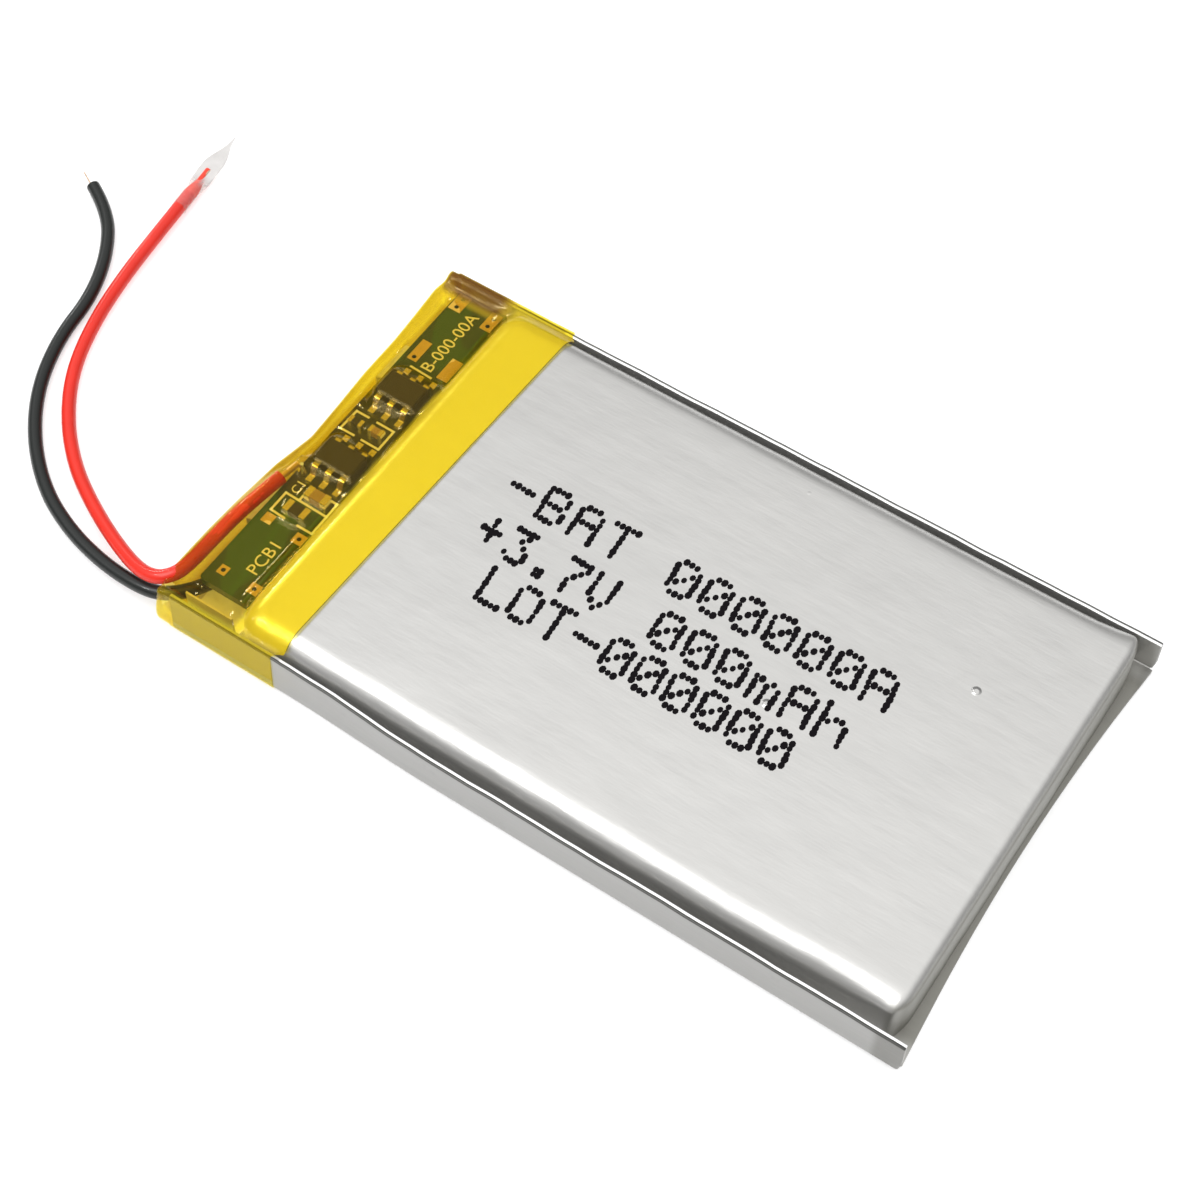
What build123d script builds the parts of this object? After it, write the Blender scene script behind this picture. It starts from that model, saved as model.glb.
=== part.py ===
"""A single-cell pouch battery: a wound cell sealed in a folded laminate pouch, its protection
board under adhesive film at the head, and two thin leads, one with a slip-off tip cover.

Frame: +X from the head to the tail, +Y across the cell, +Z up. The origin is the middle of the
cell's own underside, and the cell stands on z = 0. Millimetres throughout.
"""

import os
from math import pi, radians, tan

from build123d import *

os.makedirs("parts", exist_ok=True)

# ---- Driving dimensions ----

# Laminate pouch
FILM = 0.15  # thickness of the laminate
HALF_WIDTH = 14.96  # outside of the folded side seals, at their foot
HEAD_X = -24.0  # head edge of the laminate
TAIL_X = 25.35  # tips of the two ears at the tail
TAIL_MID_X = 24.45  # tail edge in the middle, where it curves in
SEAL_TOP = 3.1  # height of the folded side seals
SEAL_LEAN = 0.25  # how far their tops lean in
SEAL_BEND = 0.5  # outer radius of the fold at their foot
EAR_ROUND = 0.8  # rounding of each ear's lower corner

# Drawn cup that holds the winding
CUP_HEAD_X = -19.9
CUP_TAIL_X = 24.3
CUP_HALF_WIDTH = 14.1
CUP_TOP = 3.94
CUP_CORNER = 1.8  # plan radius of its four corners
CUP_SHOULDER = 1.5  # radius between its walls and its top

# Adhesive film round the head
TAPE = 0.06
TAPE_SLACK = 0.02  # air between it and the folded side seals
TAPE_HEAD_X = -25.4
TAPE_EDGE_X = -16.0
BOARD_ROOF = 3.72  # height of the adhesive film over the board

# Wound electrodes and separators, seen along X
CORE_HALF_GAP = 0.12
PITCH = 0.40  # one turn of all four strips
TURNS = 4
FLAT_HALF = 12.0  # half of the straight stretch across Y
WINDING_Z = 2.0
WINDING_HEAD_X = -18.8
WINDING_TAIL_X = 23.0
ELECTRODE = 0.14
SEPARATOR = 0.025

# Tabs and the seals round them
TAB_Y = {"positive": 7.5, "negative": -5.5}
TAB = 0.08
TAB_WIDTH = 3.0
TAB_LOOP_X = -24.62  # where the tabs turn up outside the pouch
TAB_FOLD_Z = 1.71  # where they lie back under the board
SEALANT = 0.06  # each of the two films round a tab
SEALANT_WIDTH = 5.0

# Protection board
BOARD_X = (-23.75, -20.05)
BOARD_Y = (-12.3, 13.95)
BOARD_BOTTOM = 1.90
BOARD_TOP = 2.50
PAD = 0.04
VIA_RADIUS = 0.15
STRIP = 0.15  # nickel strips under the board
CHIP_X = -21.65
CHIP_Y = {"protection_ic": 4.95, "mosfet": -1.30}
CHIP_LENGTH = 2.8  # along X
CHIP_WIDTH = 1.75  # along Y
CHIP_BOTTOM = 2.60
CHIP_TOP = 3.60
LEAD_PITCH = 1.0

# Leads
INSULATION_RADIUS = 0.45
BORE_RADIUS = 0.20
CORE_RADIUS = 0.19
STRAND_RADIUS = 0.05
STRIPPED = 2.4  # bare conductor at the red lead's free end
RED_ROUTE = [
    (-23.95, -4.15, 2.98),
    (-24.50, -7.00, 2.84),
    (-24.72, -10.10, 2.60),
    (-24.85, -12.00, 2.42),
    (-25.20, -12.98, 2.30),
    (-26.05, -13.60, 2.08),
    (-27.50, -13.55, 1.72),
    (-30.10, -12.60, 1.15),
    (-33.20, -11.15, 0.72),
    (-36.30, -9.35, 0.50),
    (-39.10, -6.85, 0.46),
    (-41.40, -3.70, 0.46),
    (-42.85, 0.05, 0.46),
    (-43.70, 4.00, 0.53),
    (-44.20, 8.00, 0.62),
    (-44.69, 12.00, 0.62),
]
BLACK_ROUTE = [
    (-22.90, -10.50, 1.38),
    (-23.50, -11.75, 1.36),
    (-24.35, -13.00, 1.28),
    (-25.60, -13.95, 1.14),
    (-27.40, -14.15, 0.94),
    (-30.20, -13.90, 0.62),
    (-33.40, -13.15, 0.48),
    (-36.70, -11.70, 0.46),
    (-39.90, -9.10, 0.46),
    (-42.40, -5.80, 0.46),
    (-43.90, -2.00, 0.46),
    (-44.40, 1.60, 0.46),
    (-45.90, 5.00, 0.46),
    (-48.20, 7.85, 0.46),
    (-50.60, 9.10, 0.46),
]

# Tip cover on the red lead, measured from the end of the insulation
COVER_BORE = 0.50
COVER_WALL = 0.08
COVER_GRIP = 1.3  # how much of the insulation it covers
COVER_LENGTH = 5.8  # from the end of the insulation to the point
COVER_HALF_WIDTH = 0.72
COVER_FILM = 0.16


def finish(part, name):
    """Label a finished piece and write it as its own file."""
    part.label = name
    export_step(part, f"parts/{name}.step")


# ---- Laminate pouch: one sheet, folded at the tail and sealed on its other sides ----

STRETCHES = ((HEAD_X, TAPE_EDGE_X, TAPE), (TAPE_EDGE_X, TAIL_X, 0.0))
TAIL_RADIUS = (HALF_WIDTH**2 + (TAIL_X - TAIL_MID_X) ** 2) / (2 * (TAIL_X - TAIL_MID_X))


def layer_points(layer, z_low):
    """Centre line of a laminate layer across the cell: up one side, along the bottom, up the other."""
    half = HALF_WIDTH - FILM * (layer + 0.5)
    low = z_low + FILM * (layer + 0.5)
    return [(-half + SEAL_LEAN, SEAL_TOP), (-half, low), (half, low), (half - SEAL_LEAN, SEAL_TOP)]


with BuildPart() as tail_trim:
    with BuildSketch(Plane.XY.offset(-1)):
        with Locations((TAIL_MID_X + TAIL_RADIUS, 0)):
            Circle(TAIL_RADIUS)
    extrude(amount=6)
    for side in (-1, 1):
        with BuildSketch(Plane.XZ.offset(side * (HALF_WIDTH - 0.3))):
            with Locations((TAIL_X, 0)):
                Rectangle(2 * EAR_ROUND, 2 * EAR_ROUND)
            with Locations((TAIL_X - EAR_ROUND, EAR_ROUND)):
                Circle(EAR_ROUND, mode=Mode.SUBTRACT)
        extrude(amount=0.3 + FILM, both=True)

with BuildPart() as pouch_flat_half:
    for x_start, x_end, z_low in STRETCHES:
        with BuildSketch(Plane.YZ.offset(x_start)):
            with BuildLine():
                FilletPolyline(*layer_points(0, z_low), radius=SEAL_BEND - FILM / 2)
            trace(line_width=FILM)
        extrude(amount=x_end - x_start)
    add(tail_trim.part, mode=Mode.SUBTRACT)
finish(pouch_flat_half.part, "pouch_flat_half")

SEAM = TAPE + FILM  # where the two layers meet at the head
CHANNEL_TOP = SEAM + 2 * SEALANT + TAB


def cup_block(inset, z_low):
    """The drawn cup's solid block, inset from its outside."""
    with BuildPart() as block:
        with BuildSketch(Plane.XY.offset(z_low)):
            with Locations(((CUP_HEAD_X + CUP_TAIL_X) / 2, 0)):
                RectangleRounded(
                    CUP_TAIL_X - CUP_HEAD_X - 2 * inset,
                    2 * (CUP_HALF_WIDTH - inset),
                    CUP_CORNER - inset,
                )
        extrude(amount=CUP_TOP - inset - z_low)
        fillet(block.faces().sort_by(Axis.Z)[-1].edges(), CUP_SHOULDER - inset)
    return block.part


cup_outside = cup_block(0.0, FILM)
cup_inside = cup_block(FILM, 0.0)

with BuildPart() as pouch_cup_half:
    for x_start, x_end, z_low in STRETCHES:
        with BuildSketch(Plane.YZ.offset(x_start)):
            with BuildLine():
                FilletPolyline(*layer_points(1, z_low), radius=SEAL_BEND - 1.5 * FILM)
            trace(line_width=FILM)
        extrude(amount=x_end - x_start)
    for y in TAB_Y.values():
        with BuildSketch(Plane.XY.offset(SEAM)):
            with Locations(((HEAD_X + CUP_HEAD_X) / 2 + 0.05, y)):
                Rectangle(CUP_HEAD_X - HEAD_X + 0.1, SEALANT_WIDTH + 2 * FILM)
        extrude(amount=CHANNEL_TOP + FILM - SEAM)
    add(cup_outside)
    add(cup_inside, mode=Mode.SUBTRACT)
    for y in TAB_Y.values():
        with BuildSketch(Plane.XY.offset(SEAM)):
            with Locations(((HEAD_X + CUP_HEAD_X) / 2, y)):
                Rectangle(CUP_HEAD_X - HEAD_X + 1, SEALANT_WIDTH)
        extrude(amount=CHANNEL_TOP - SEAM, mode=Mode.SUBTRACT)
    add(pouch_flat_half.part, mode=Mode.SUBTRACT)
    add(tail_trim.part, mode=Mode.SUBTRACT)
finish(pouch_cup_half.part, "pouch_cup_half")

# ---- Winding: separator, cathode, separator, anode, wound flat round a thin core ----

GAP = (PITCH - 2 * ELECTRODE - 2 * SEPARATOR) / 4
STRIPS = {
    "separator_inner": (0.0, SEPARATOR, 0.0),
    "cathode_winding": (GAP + (SEPARATOR + ELECTRODE) / 2, ELECTRODE, 1.0),
    "separator_outer": (PITCH / 2, SEPARATOR, 0.0),
    "anode_winding": (PITCH / 2 + GAP + (SEPARATOR + ELECTRODE) / 2, ELECTRODE, 0.6),
}

for name, (offset_out, thickness, inset) in STRIPS.items():
    with BuildPart() as strip:
        section = Plane((WINDING_HEAD_X + inset, 0, WINDING_Z), x_dir=(0, 1, 0), z_dir=(1, 0, 0))
        with BuildSketch(section):
            with BuildLine():
                for turn in range(TURNS):
                    r = CORE_HALF_GAP + offset_out + turn * PITCH
                    Line((-FLAT_HALF, r), (FLAT_HALF, r))
                    ThreePointArc((FLAT_HALF, r), (FLAT_HALF + r, 0), (FLAT_HALF, -r))
                    Line((FLAT_HALF, -r), (-FLAT_HALF, -r))
                    if turn < TURNS - 1:
                        ThreePointArc(
                            (-FLAT_HALF, -r),
                            (-FLAT_HALF - r - PITCH / 2, PITCH / 2),
                            (-FLAT_HALF, r + PITCH),
                        )
            trace(line_width=thickness)
        extrude(amount=WINDING_TAIL_X - WINDING_HEAD_X - 2 * inset)
    finish(strip.part, name)

WINDING_HALF = CORE_HALF_GAP + TURNS * PITCH
WRAP = 0.04
with BuildPart() as winding_tape:
    with BuildSketch(Plane.YZ.offset(-6)):
        with Locations((0, WINDING_Z)):
            SlotCenterToCenter(2 * FLAT_HALF, 2 * (WINDING_HALF + WRAP))
            SlotCenterToCenter(2 * FLAT_HALF, 2 * WINDING_HALF, mode=Mode.SUBTRACT)
    extrude(amount=14)
finish(winding_tape.part, "winding_tape")

# ---- Tabs: from the winding's core, out through the head seal, up and back under the board ----

TAB_Z = SEAM + SEALANT + TAB / 2
TAB_PATH = [
    (-12.0, WINDING_Z),
    (-19.25, WINDING_Z),
    (-19.42, TAB_Z),
    (TAB_LOOP_X, TAB_Z),
    (TAB_LOOP_X, TAB_FOLD_Z),
    (-21.4, TAB_FOLD_Z),
]
TAB_BENDS = [0.25, 0.25, 0.4, 0.4]

for polarity, y in TAB_Y.items():
    with BuildPart() as tab:
        with BuildSketch(Plane.XZ.offset(-y)):
            with BuildLine():
                FilletPolyline(*TAB_PATH, radius=TAB_BENDS)
            trace(line_width=TAB)
        extrude(amount=TAB_WIDTH / 2, both=True)
    finish(tab.part, f"{polarity}_tab")

    with BuildPart() as sealant:
        with BuildSketch(Plane.YZ.offset(HEAD_X - 0.4)):
            with Locations((y, (SEAM + CHANNEL_TOP) / 2)):
                Rectangle(SEALANT_WIDTH, CHANNEL_TOP - SEAM)
                Rectangle(TAB_WIDTH, TAB, mode=Mode.SUBTRACT)
        extrude(amount=CUP_HEAD_X - HEAD_X + 0.35)
    finish(sealant.part, f"{polarity}_tab_sealant")

    with BuildPart() as nickel_strip:
        with BuildSketch(Plane.XY.offset(TAB_FOLD_Z + TAB / 2)):
            with Locations((-22.1, y)):
                RectangleRounded(2.9, TAB_WIDTH + 0.4, 0.15)
        extrude(amount=STRIP)
    finish(nickel_strip.part, f"{polarity}_nickel_strip")

# ---- Insulation between the terrace and the board ----

PAPER = 0.12
PAPER_X = (-23.6, -20.2)
PAPER_Y = (-13.7, 13.4)
PAPER_BOTTOM = CHANNEL_TOP + FILM + 0.01
PAPER_EDGE_TOP = 2.7

with BuildPart() as terrace_paper:
    with BuildSketch(Plane.YZ.offset(PAPER_X[0])):
        with BuildLine():
            Polyline(
                (PAPER_Y[0], PAPER_EDGE_TOP),
                (PAPER_Y[0], PAPER_BOTTOM),
                (PAPER_Y[1], PAPER_BOTTOM),
                (PAPER_Y[1], PAPER_BOTTOM + PAPER),
                (PAPER_Y[0] + PAPER, PAPER_BOTTOM + PAPER),
                (PAPER_Y[0] + PAPER, PAPER_EDGE_TOP),
                close=True,
            )
        make_face()
    extrude(amount=PAPER_X[1] - PAPER_X[0])
finish(terrace_paper.part, "terrace_paper")

FOAM_Y = (-7.4, 13.2)
with BuildPart() as foam_pad:
    with BuildSketch(Plane.XY.offset(PAPER_BOTTOM + PAPER)):
        with Locations(((BOARD_X[0] + BOARD_X[1]) / 2, sum(FOAM_Y) / 2)):
            Rectangle(3.4, FOAM_Y[1] - FOAM_Y[0])
    extrude(amount=TAB_FOLD_Z - TAB / 2 - 0.01 - PAPER_BOTTOM - PAPER)
finish(foam_pad.part, "foam_pad")

# ---- Protection board ----

# centre x, centre y, size along x, size along y, and the y of each via
PADS = [
    (-23.20, 13.15, 0.90, 1.40, (12.77, 13.49)),
    (-20.65, 12.95, 0.80, 1.50, (12.56, 13.25)),
    (-23.05, 8.60, 0.70, 1.75, (8.02,)),
    (-20.55, 8.35, 0.80, 1.80, ()),
    (-22.95, -6.75, 0.70, 0.72, ()),
    (-20.50, -6.95, 0.75, 0.75, (-6.95,)),
    (-22.85, -11.15, 0.60, 0.65, (-11.15,)),
    (-20.50, -11.20, 0.75, 0.75, (-11.20,)),
]
VIAS = [(x, y) for x, _, _, _, ys in PADS for y in ys]

with BuildPart() as circuit_board:
    with BuildSketch(Plane.XY.offset(BOARD_BOTTOM)):
        with Locations((sum(BOARD_X) / 2, sum(BOARD_Y) / 2)):
            RectangleRounded(BOARD_X[1] - BOARD_X[0], BOARD_Y[1] - BOARD_Y[0], 0.2)
        with Locations(*VIAS):
            Circle(VIA_RADIUS, mode=Mode.SUBTRACT)
    extrude(amount=BOARD_TOP - BOARD_BOTTOM)
finish(circuit_board.part, "circuit_board")

with BuildPart() as board_pads:
    with BuildSketch(Plane.XY.offset(BOARD_TOP)):
        for x, y, size_x, size_y, _ in PADS:
            with Locations((x, y)):
                Rectangle(size_x, size_y)
        with Locations(*VIAS):
            Circle(VIA_RADIUS, mode=Mode.SUBTRACT)
    extrude(amount=PAD)
finish(board_pads.part, "board_pads")

# Gull-wing leads, drawn from the body's wall outward as (distance from the wall, height)
WING = [(0.0, 3.18), (0.35, 3.18), (0.62, 2.58), (1.15, 2.58)]
WING_THICKNESS = 0.15

for name, y in CHIP_Y.items():
    with BuildPart() as chip_body:
        with BuildSketch(Plane.XY.offset(CHIP_BOTTOM)):
            with Locations((CHIP_X, y)):
                RectangleRounded(CHIP_LENGTH, CHIP_WIDTH, 0.12)
        extrude(amount=CHIP_TOP - CHIP_BOTTOM)
        chamfer(chip_body.faces().sort_by(Axis.Z)[-1].edges(), 0.08)
    finish(chip_body.part, f"{name}_body")

    with BuildPart() as chip_leads:
        for row in (-1, 1):
            for column in (-1, 0, 1):
                with BuildSketch(Plane.YZ.offset(CHIP_X + column * LEAD_PITCH)):
                    with BuildLine():
                        FilletPolyline(
                            *[(y + row * (CHIP_WIDTH / 2 + out), z) for out, z in WING],
                            radius=0.12,
                        )
                    trace(line_width=WING_THICKNESS)
                extrude(amount=0.2, both=True)
    finish(chip_leads.part, f"{name}_leads")

# Chip resistors and capacitors, all along X: centre x, centre y, length, width, height.
# Each is a ceramic middle between two end caps.
RESISTORS = [(-21.75, -5.50, 1.6, 0.8, 0.45), (-22.85, 1.80, 1.0, 0.5, 0.35)]
CAPACITORS = [(-21.20, -4.15, 1.6, 0.75, 0.70), (-21.30, 1.80, 1.0, 0.5, 0.50)]


for name, items in {"resistors": RESISTORS, "capacitors": CAPACITORS}.items():
    with BuildPart() as ceramics:
        for x, y, length, width, height in items:
            with BuildSketch(Plane.XY.offset(BOARD_TOP)):
                with Locations((x, y)):
                    Rectangle(0.5 * length, width - 0.04)
            extrude(amount=height - 0.02)
    finish(ceramics.part, name)

with BuildPart() as chip_end_caps:
    for x, y, length, width, height in RESISTORS + CAPACITORS:
        with BuildSketch(Plane.XY.offset(BOARD_TOP)):
            with Locations((x - 0.375 * length, y), (x + 0.375 * length, y)):
                Rectangle(0.25 * length, width)
        extrude(amount=height)
finish(chip_end_caps.part, "chip_end_caps")

# ---- Leads ----


def bend_radii(route):
    """The largest arc that each corner of a route takes: 0.45 of the shorter run beside it."""
    radii = []
    for before, corner, after in zip(route, route[1:], route[2:]):
        run_in = Vector(*corner) - Vector(*before)
        run_out = Vector(*after) - Vector(*corner)
        half_turn = radians(run_in.get_angle(run_out)) / 2
        radii.append(0.45 * min(run_in.length, run_out.length) / tan(half_turn))
    return radii


def direction(start, end):
    return (Vector(*end) - Vector(*start)).normalized()


ROUTES = {"red": RED_ROUTE, "black": BLACK_ROUTE}
CORE_AT_BOARD = {"red": 1.35, "black": 0.95}
CORE_AT_END = {"red": STRIPPED, "black": 0.0}
lead_cores = {}

for colour, route in ROUTES.items():
    radii = bend_radii(route)
    print(f"{colour} lead radii:", [round(r, 2) for r in radii])
    board_end = Plane(origin=route[0], z_dir=direction(route[1], route[0]))
    free_end = Plane(origin=route[-1], z_dir=direction(route[-2], route[-1]))
    start = Plane(origin=route[0], z_dir=direction(route[0], route[1]))

    with BuildPart() as lead:
        with BuildLine() as path:
            FilletPolyline(*route, radius=radii)
        with BuildSketch(start):
            Circle(INSULATION_RADIUS)
            Circle(BORE_RADIUS, mode=Mode.SUBTRACT)
        sweep(path=path.wire())
    finish(lead.part, f"{colour}_lead")

    with BuildPart() as core:
        with BuildLine() as core_path:
            FilletPolyline(*route, radius=radii)
        with BuildSketch(start):
            Circle(CORE_RADIUS)
        sweep(path=core_path.wire())
        for plane, reach in ((board_end, CORE_AT_BOARD[colour]), (free_end, CORE_AT_END[colour])):
            if reach:
                with BuildSketch(plane):
                    Circle(CORE_RADIUS)
                extrude(amount=reach)
        if colour == "black":
            with BuildSketch(free_end):
                with Locations((0.08, 0.05)):
                    Circle(STRAND_RADIUS)
            extrude(amount=1.4)
    finish(core.part, f"{colour}_lead_core")
    lead_cores[colour] = core.part

    length = path.wire().length
    section = pi * (INSULATION_RADIUS**2 - BORE_RADIUS**2)
    print(f"{colour} lead: {length:.2f} long, volume {lead.part.volume:.4f}, expected {section * length:.4f}")

# Solder joints: a dome on the board for the red lead, a dome under it for the black one
with BuildPart() as red_solder_joint:
    with BuildSketch(Plane.XY.offset(BOARD_TOP)):
        with Locations((-23.38, -2.85)):
            Circle(0.36)
    extrude(amount=0.75, taper=18)
    add(lead_cores["red"], mode=Mode.SUBTRACT)
finish(red_solder_joint.part, "red_solder_joint")

with BuildPart() as black_solder_joint:
    with BuildSketch(Plane.XY.offset(BOARD_BOTTOM)):
        with Locations((-22.52, -9.7)):
            Circle(0.45)
    extrude(amount=-0.8, taper=18)
    add(lead_cores["black"], mode=Mode.SUBTRACT)
finish(black_solder_joint.part, "black_solder_joint")

# ---- Tip cover: a folded film sleeve and flag that slides off the red lead's bare end ----

cover_axis = direction(RED_ROUTE[-2], RED_ROUTE[-1])
cover_plane = Plane(
    origin=RED_ROUTE[-1],
    x_dir=cover_axis.cross(Vector(0, 0, 1)),
    z_dir=(0, 0, 1),
)
COVER_OUTER = COVER_BORE + COVER_WALL
POCKET = 0.27

with BuildPart() as tip_cover:
    with BuildSketch(cover_plane):
        with BuildLine():
            Polyline(
                (0, -COVER_GRIP),
                (COVER_OUTER, -COVER_GRIP),
                (COVER_OUTER, 0.7),
                (POCKET + COVER_WALL, 1.6),
                (POCKET + COVER_WALL, 2.9),
                (0.1, 3.5),
                (0, 3.5),
                close=True,
            )
        make_face()
    revolve(axis=Axis(RED_ROUTE[-1], tuple(cover_axis)))
    with BuildSketch(cover_plane):
        with BuildLine():
            Polyline(
                (-0.4, -0.6),
                (0.4, -0.6),
                (COVER_HALF_WIDTH, 0.6),
                (COVER_HALF_WIDTH, 2.6),
                (0.12, COVER_LENGTH),
                (-0.12, COVER_LENGTH),
                (-COVER_HALF_WIDTH, 3.2),
                (-COVER_HALF_WIDTH, 0.6),
                close=True,
            )
        make_face()
    extrude(amount=COVER_FILM / 2, both=True)
    with BuildSketch(cover_plane):
        with BuildLine():
            Polyline(
                (0, -COVER_GRIP - 1),
                (COVER_BORE, -COVER_GRIP - 1),
                (COVER_BORE, 0.5),
                (POCKET, 1.2),
                (POCKET, 2.8),
                (0, 2.8),
                close=True,
            )
        make_face()
    revolve(axis=Axis(RED_ROUTE[-1], tuple(cover_axis)), mode=Mode.SUBTRACT)
finish(tip_cover.part, "tip_cover")
print("tip cover axis:", tuple(round(v, 5) for v in cover_axis))

# ---- Adhesive film: a thin cap round the head, the board and the start of the leads ----


ROOF_HALF = 12.97  # half width of its flat top, where it turns down to the seals


def cap(inset, slack):
    """The solid inside a surface that lies inset within the cap's outside, open to the tail."""
    foot = HALF_WIDTH + TAPE + TAPE_SLACK - inset
    seal_crease = SEAL_TOP + TAPE_SLACK + (TAPE - inset) / 2
    roof_edge = ROOF_HALF + (TAPE - inset) / 3
    with BuildPart() as body:
        with BuildSketch(Plane.XZ):
            with BuildLine():
                Polyline(
                    (TAPE_EDGE_X + slack, inset),
                    (TAPE_HEAD_X + inset, inset),
                    (TAPE_HEAD_X + inset, 3.1 - inset / 2),
                    (TAPE_HEAD_X + 0.7 + inset / 2, BOARD_ROOF - inset),
                    (-20.6, BOARD_ROOF - inset),
                    (-18.9, CUP_TOP + TAPE - inset),
                    (TAPE_EDGE_X + slack, CUP_TOP + TAPE - inset),
                    close=True,
                )
            make_face()
        extrude(amount=HALF_WIDTH + 1, both=True)
        fillet(
            body.edges().filter_by(Axis.Y).group_by(Axis.X)[0].sort_by(Axis.Z)[0],
            SEAL_BEND - inset,
        )
        with BuildSketch(Plane.YZ.offset(TAPE_HEAD_X - 1)):
            with BuildLine():
                Polyline(
                    (-foot, inset),
                    (foot, inset),
                    (foot - SEAL_LEAN, seal_crease),
                    (roof_edge, CUP_TOP + TAPE - inset),
                    (-roof_edge, CUP_TOP + TAPE - inset),
                    (SEAL_LEAN - foot, seal_crease),
                    close=True,
                )
            face = make_face()
            fillet(face.vertices().group_by(Axis.Y)[0], SEAL_BEND + 0.03 - inset)
        extrude(amount=20, mode=Mode.INTERSECT)
    return body.part


cap_hollow = cap(TAPE, 1.0)
with BuildPart() as head_tape:
    add(cap(0.0, 0.0))
    add(cap_hollow, mode=Mode.SUBTRACT)
    # mouth in the head face where the two leads come out
    with BuildSketch(Plane.YZ.offset(TAPE_HEAD_X - 0.5)):
        with Locations((-12.9, 1.85)):
            RectangleRounded(2.7, 2.5, 0.5)
    extrude(amount=1.0, mode=Mode.SUBTRACT)
finish(head_tape.part, "head_tape")
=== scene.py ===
import math
from contextlib import contextmanager

import bpy
import numpy as np
from mathutils import Matrix, Vector


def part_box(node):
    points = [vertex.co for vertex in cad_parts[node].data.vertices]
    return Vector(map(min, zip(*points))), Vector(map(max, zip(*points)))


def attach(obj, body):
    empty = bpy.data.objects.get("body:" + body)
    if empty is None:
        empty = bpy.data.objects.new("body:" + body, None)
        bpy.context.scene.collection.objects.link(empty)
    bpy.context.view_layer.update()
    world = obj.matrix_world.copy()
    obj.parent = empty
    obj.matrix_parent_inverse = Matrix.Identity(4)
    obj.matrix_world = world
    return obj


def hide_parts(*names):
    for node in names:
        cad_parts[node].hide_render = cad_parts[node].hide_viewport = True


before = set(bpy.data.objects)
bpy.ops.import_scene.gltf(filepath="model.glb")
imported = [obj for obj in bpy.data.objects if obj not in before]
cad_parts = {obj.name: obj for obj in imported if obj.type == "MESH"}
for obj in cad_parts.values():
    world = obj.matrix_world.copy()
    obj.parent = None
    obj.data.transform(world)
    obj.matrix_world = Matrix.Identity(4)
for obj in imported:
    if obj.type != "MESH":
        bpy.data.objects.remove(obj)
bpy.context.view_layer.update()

bl_info = {
    "name": "Pouch Cell Maker",
    "version": (1, 0, 0),
    "blender": (4, 5, 0),
    "location": "View3D > Sidebar > Pouch Cell",
    "description": "Builds the looks of a pouch battery cell around its packed frame",
    "category": "Add Mesh",
}

MM = 0.001


def low(node, axis):
    """A CAD node's lowest coordinate along X, Y or Z, in millimetres."""
    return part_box(node)[0]["XYZ".index(axis)] / MM


def high(node, axis):
    """A CAD node's highest coordinate along X, Y or Z, in millimetres."""
    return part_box(node)[1]["XYZ".index(axis)] / MM


# Places read from the frame, and the rest of the cell's main sizes, in millimetres
HALF_WIDTH = high("pouch_flat_half", "Y")
HEAD_X = low("pouch_flat_half", "X")
TAIL_X = high("pouch_flat_half", "X")
SEAL_TOP = high("pouch_flat_half", "Z")
CUP_TOP = high("pouch_cup_half", "Z")
BOARD_TOP = high("circuit_board", "Z")
TAPE_EDGE_X = high("head_tape", "X")
LAMINATE = 0.15  # thickness of one layer
SEAL_BEND = 0.34  # radius of the fold at the foot of the side seals
SEAL_LEAN = 0.25  # how far the tops of the folded side seals lean in
CUP_HEAD_X = -19.9
CUP_TAIL_X = 24.4
CUP_HALF_WIDTH = 14.1
CUP_CORNER = 1.8  # plan radius of the cup's corners
CUP_SHOULDER = 1.5  # radius between its walls and its top
TAIL_MID_X = 24.6  # where the tail edge ends between its two ears
EAR_ROUND = 0.8  # radius of each ear's lower corner
TAB_Y = (7.5, -5.5)
INK_LIFT = 0.012  # how far printed ink stands up
CHIP_X = -21.65
CHIP_Y = (4.95, -1.3)

# points that pull each lead's line, from its solder joint to its end, in millimetres
RED_ROUTE = [
    (-23.95, -4.15, 2.98),
    (-24.50, -7.00, 2.84),
    (-24.72, -10.10, 2.60),
    (-24.85, -12.00, 2.42),
    (-25.20, -12.98, 2.30),
    (-26.05, -13.60, 2.08),
    (-27.50, -13.55, 1.72),
    (-30.10, -12.60, 1.15),
    (-33.20, -11.15, 0.72),
    (-36.30, -9.35, 0.50),
    (-39.10, -6.85, 0.46),
    (-41.40, -3.70, 0.46),
    (-42.85, 0.05, 0.46),
    (-43.70, 4.00, 0.53),
    (-44.20, 8.00, 0.62),
    (-44.69, 12.00, 0.62),
]
BLACK_ROUTE = [
    (-22.90, -10.50, 1.38),
    (-23.50, -11.75, 1.36),
    (-24.35, -13.00, 1.28),
    (-25.60, -13.95, 1.14),
    (-27.40, -14.15, 0.94),
    (-30.20, -13.90, 0.62),
    (-33.40, -13.15, 0.48),
    (-36.70, -11.70, 0.46),
    (-39.90, -9.10, 0.46),
    (-42.40, -5.80, 0.46),
    (-43.90, -2.00, 0.46),
    (-44.40, 1.60, 0.46),
    (-45.90, 5.00, 0.46),
    (-48.20, 7.85, 0.46),
    (-50.60, 9.10, 0.46),
]


# ---- What a user may change ----


class PouchSettings(bpy.types.PropertyGroup):
    silver: bpy.props.FloatVectorProperty(
        name="Laminate", description="Colour of the pouch laminate", subtype="COLOR",
        default=(0.53, 0.525, 0.51),
    )
    crown: bpy.props.FloatProperty(
        name="Crown", description="How far the middle of the cup's top stands above its rim",
        default=0.13 * MM, unit="LENGTH",
    )
    waviness: bpy.props.FloatProperty(
        name="Waviness", description="Depth of the soft dents in the laminate",
        default=0.012 * MM, unit="LENGTH",
    )


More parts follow.
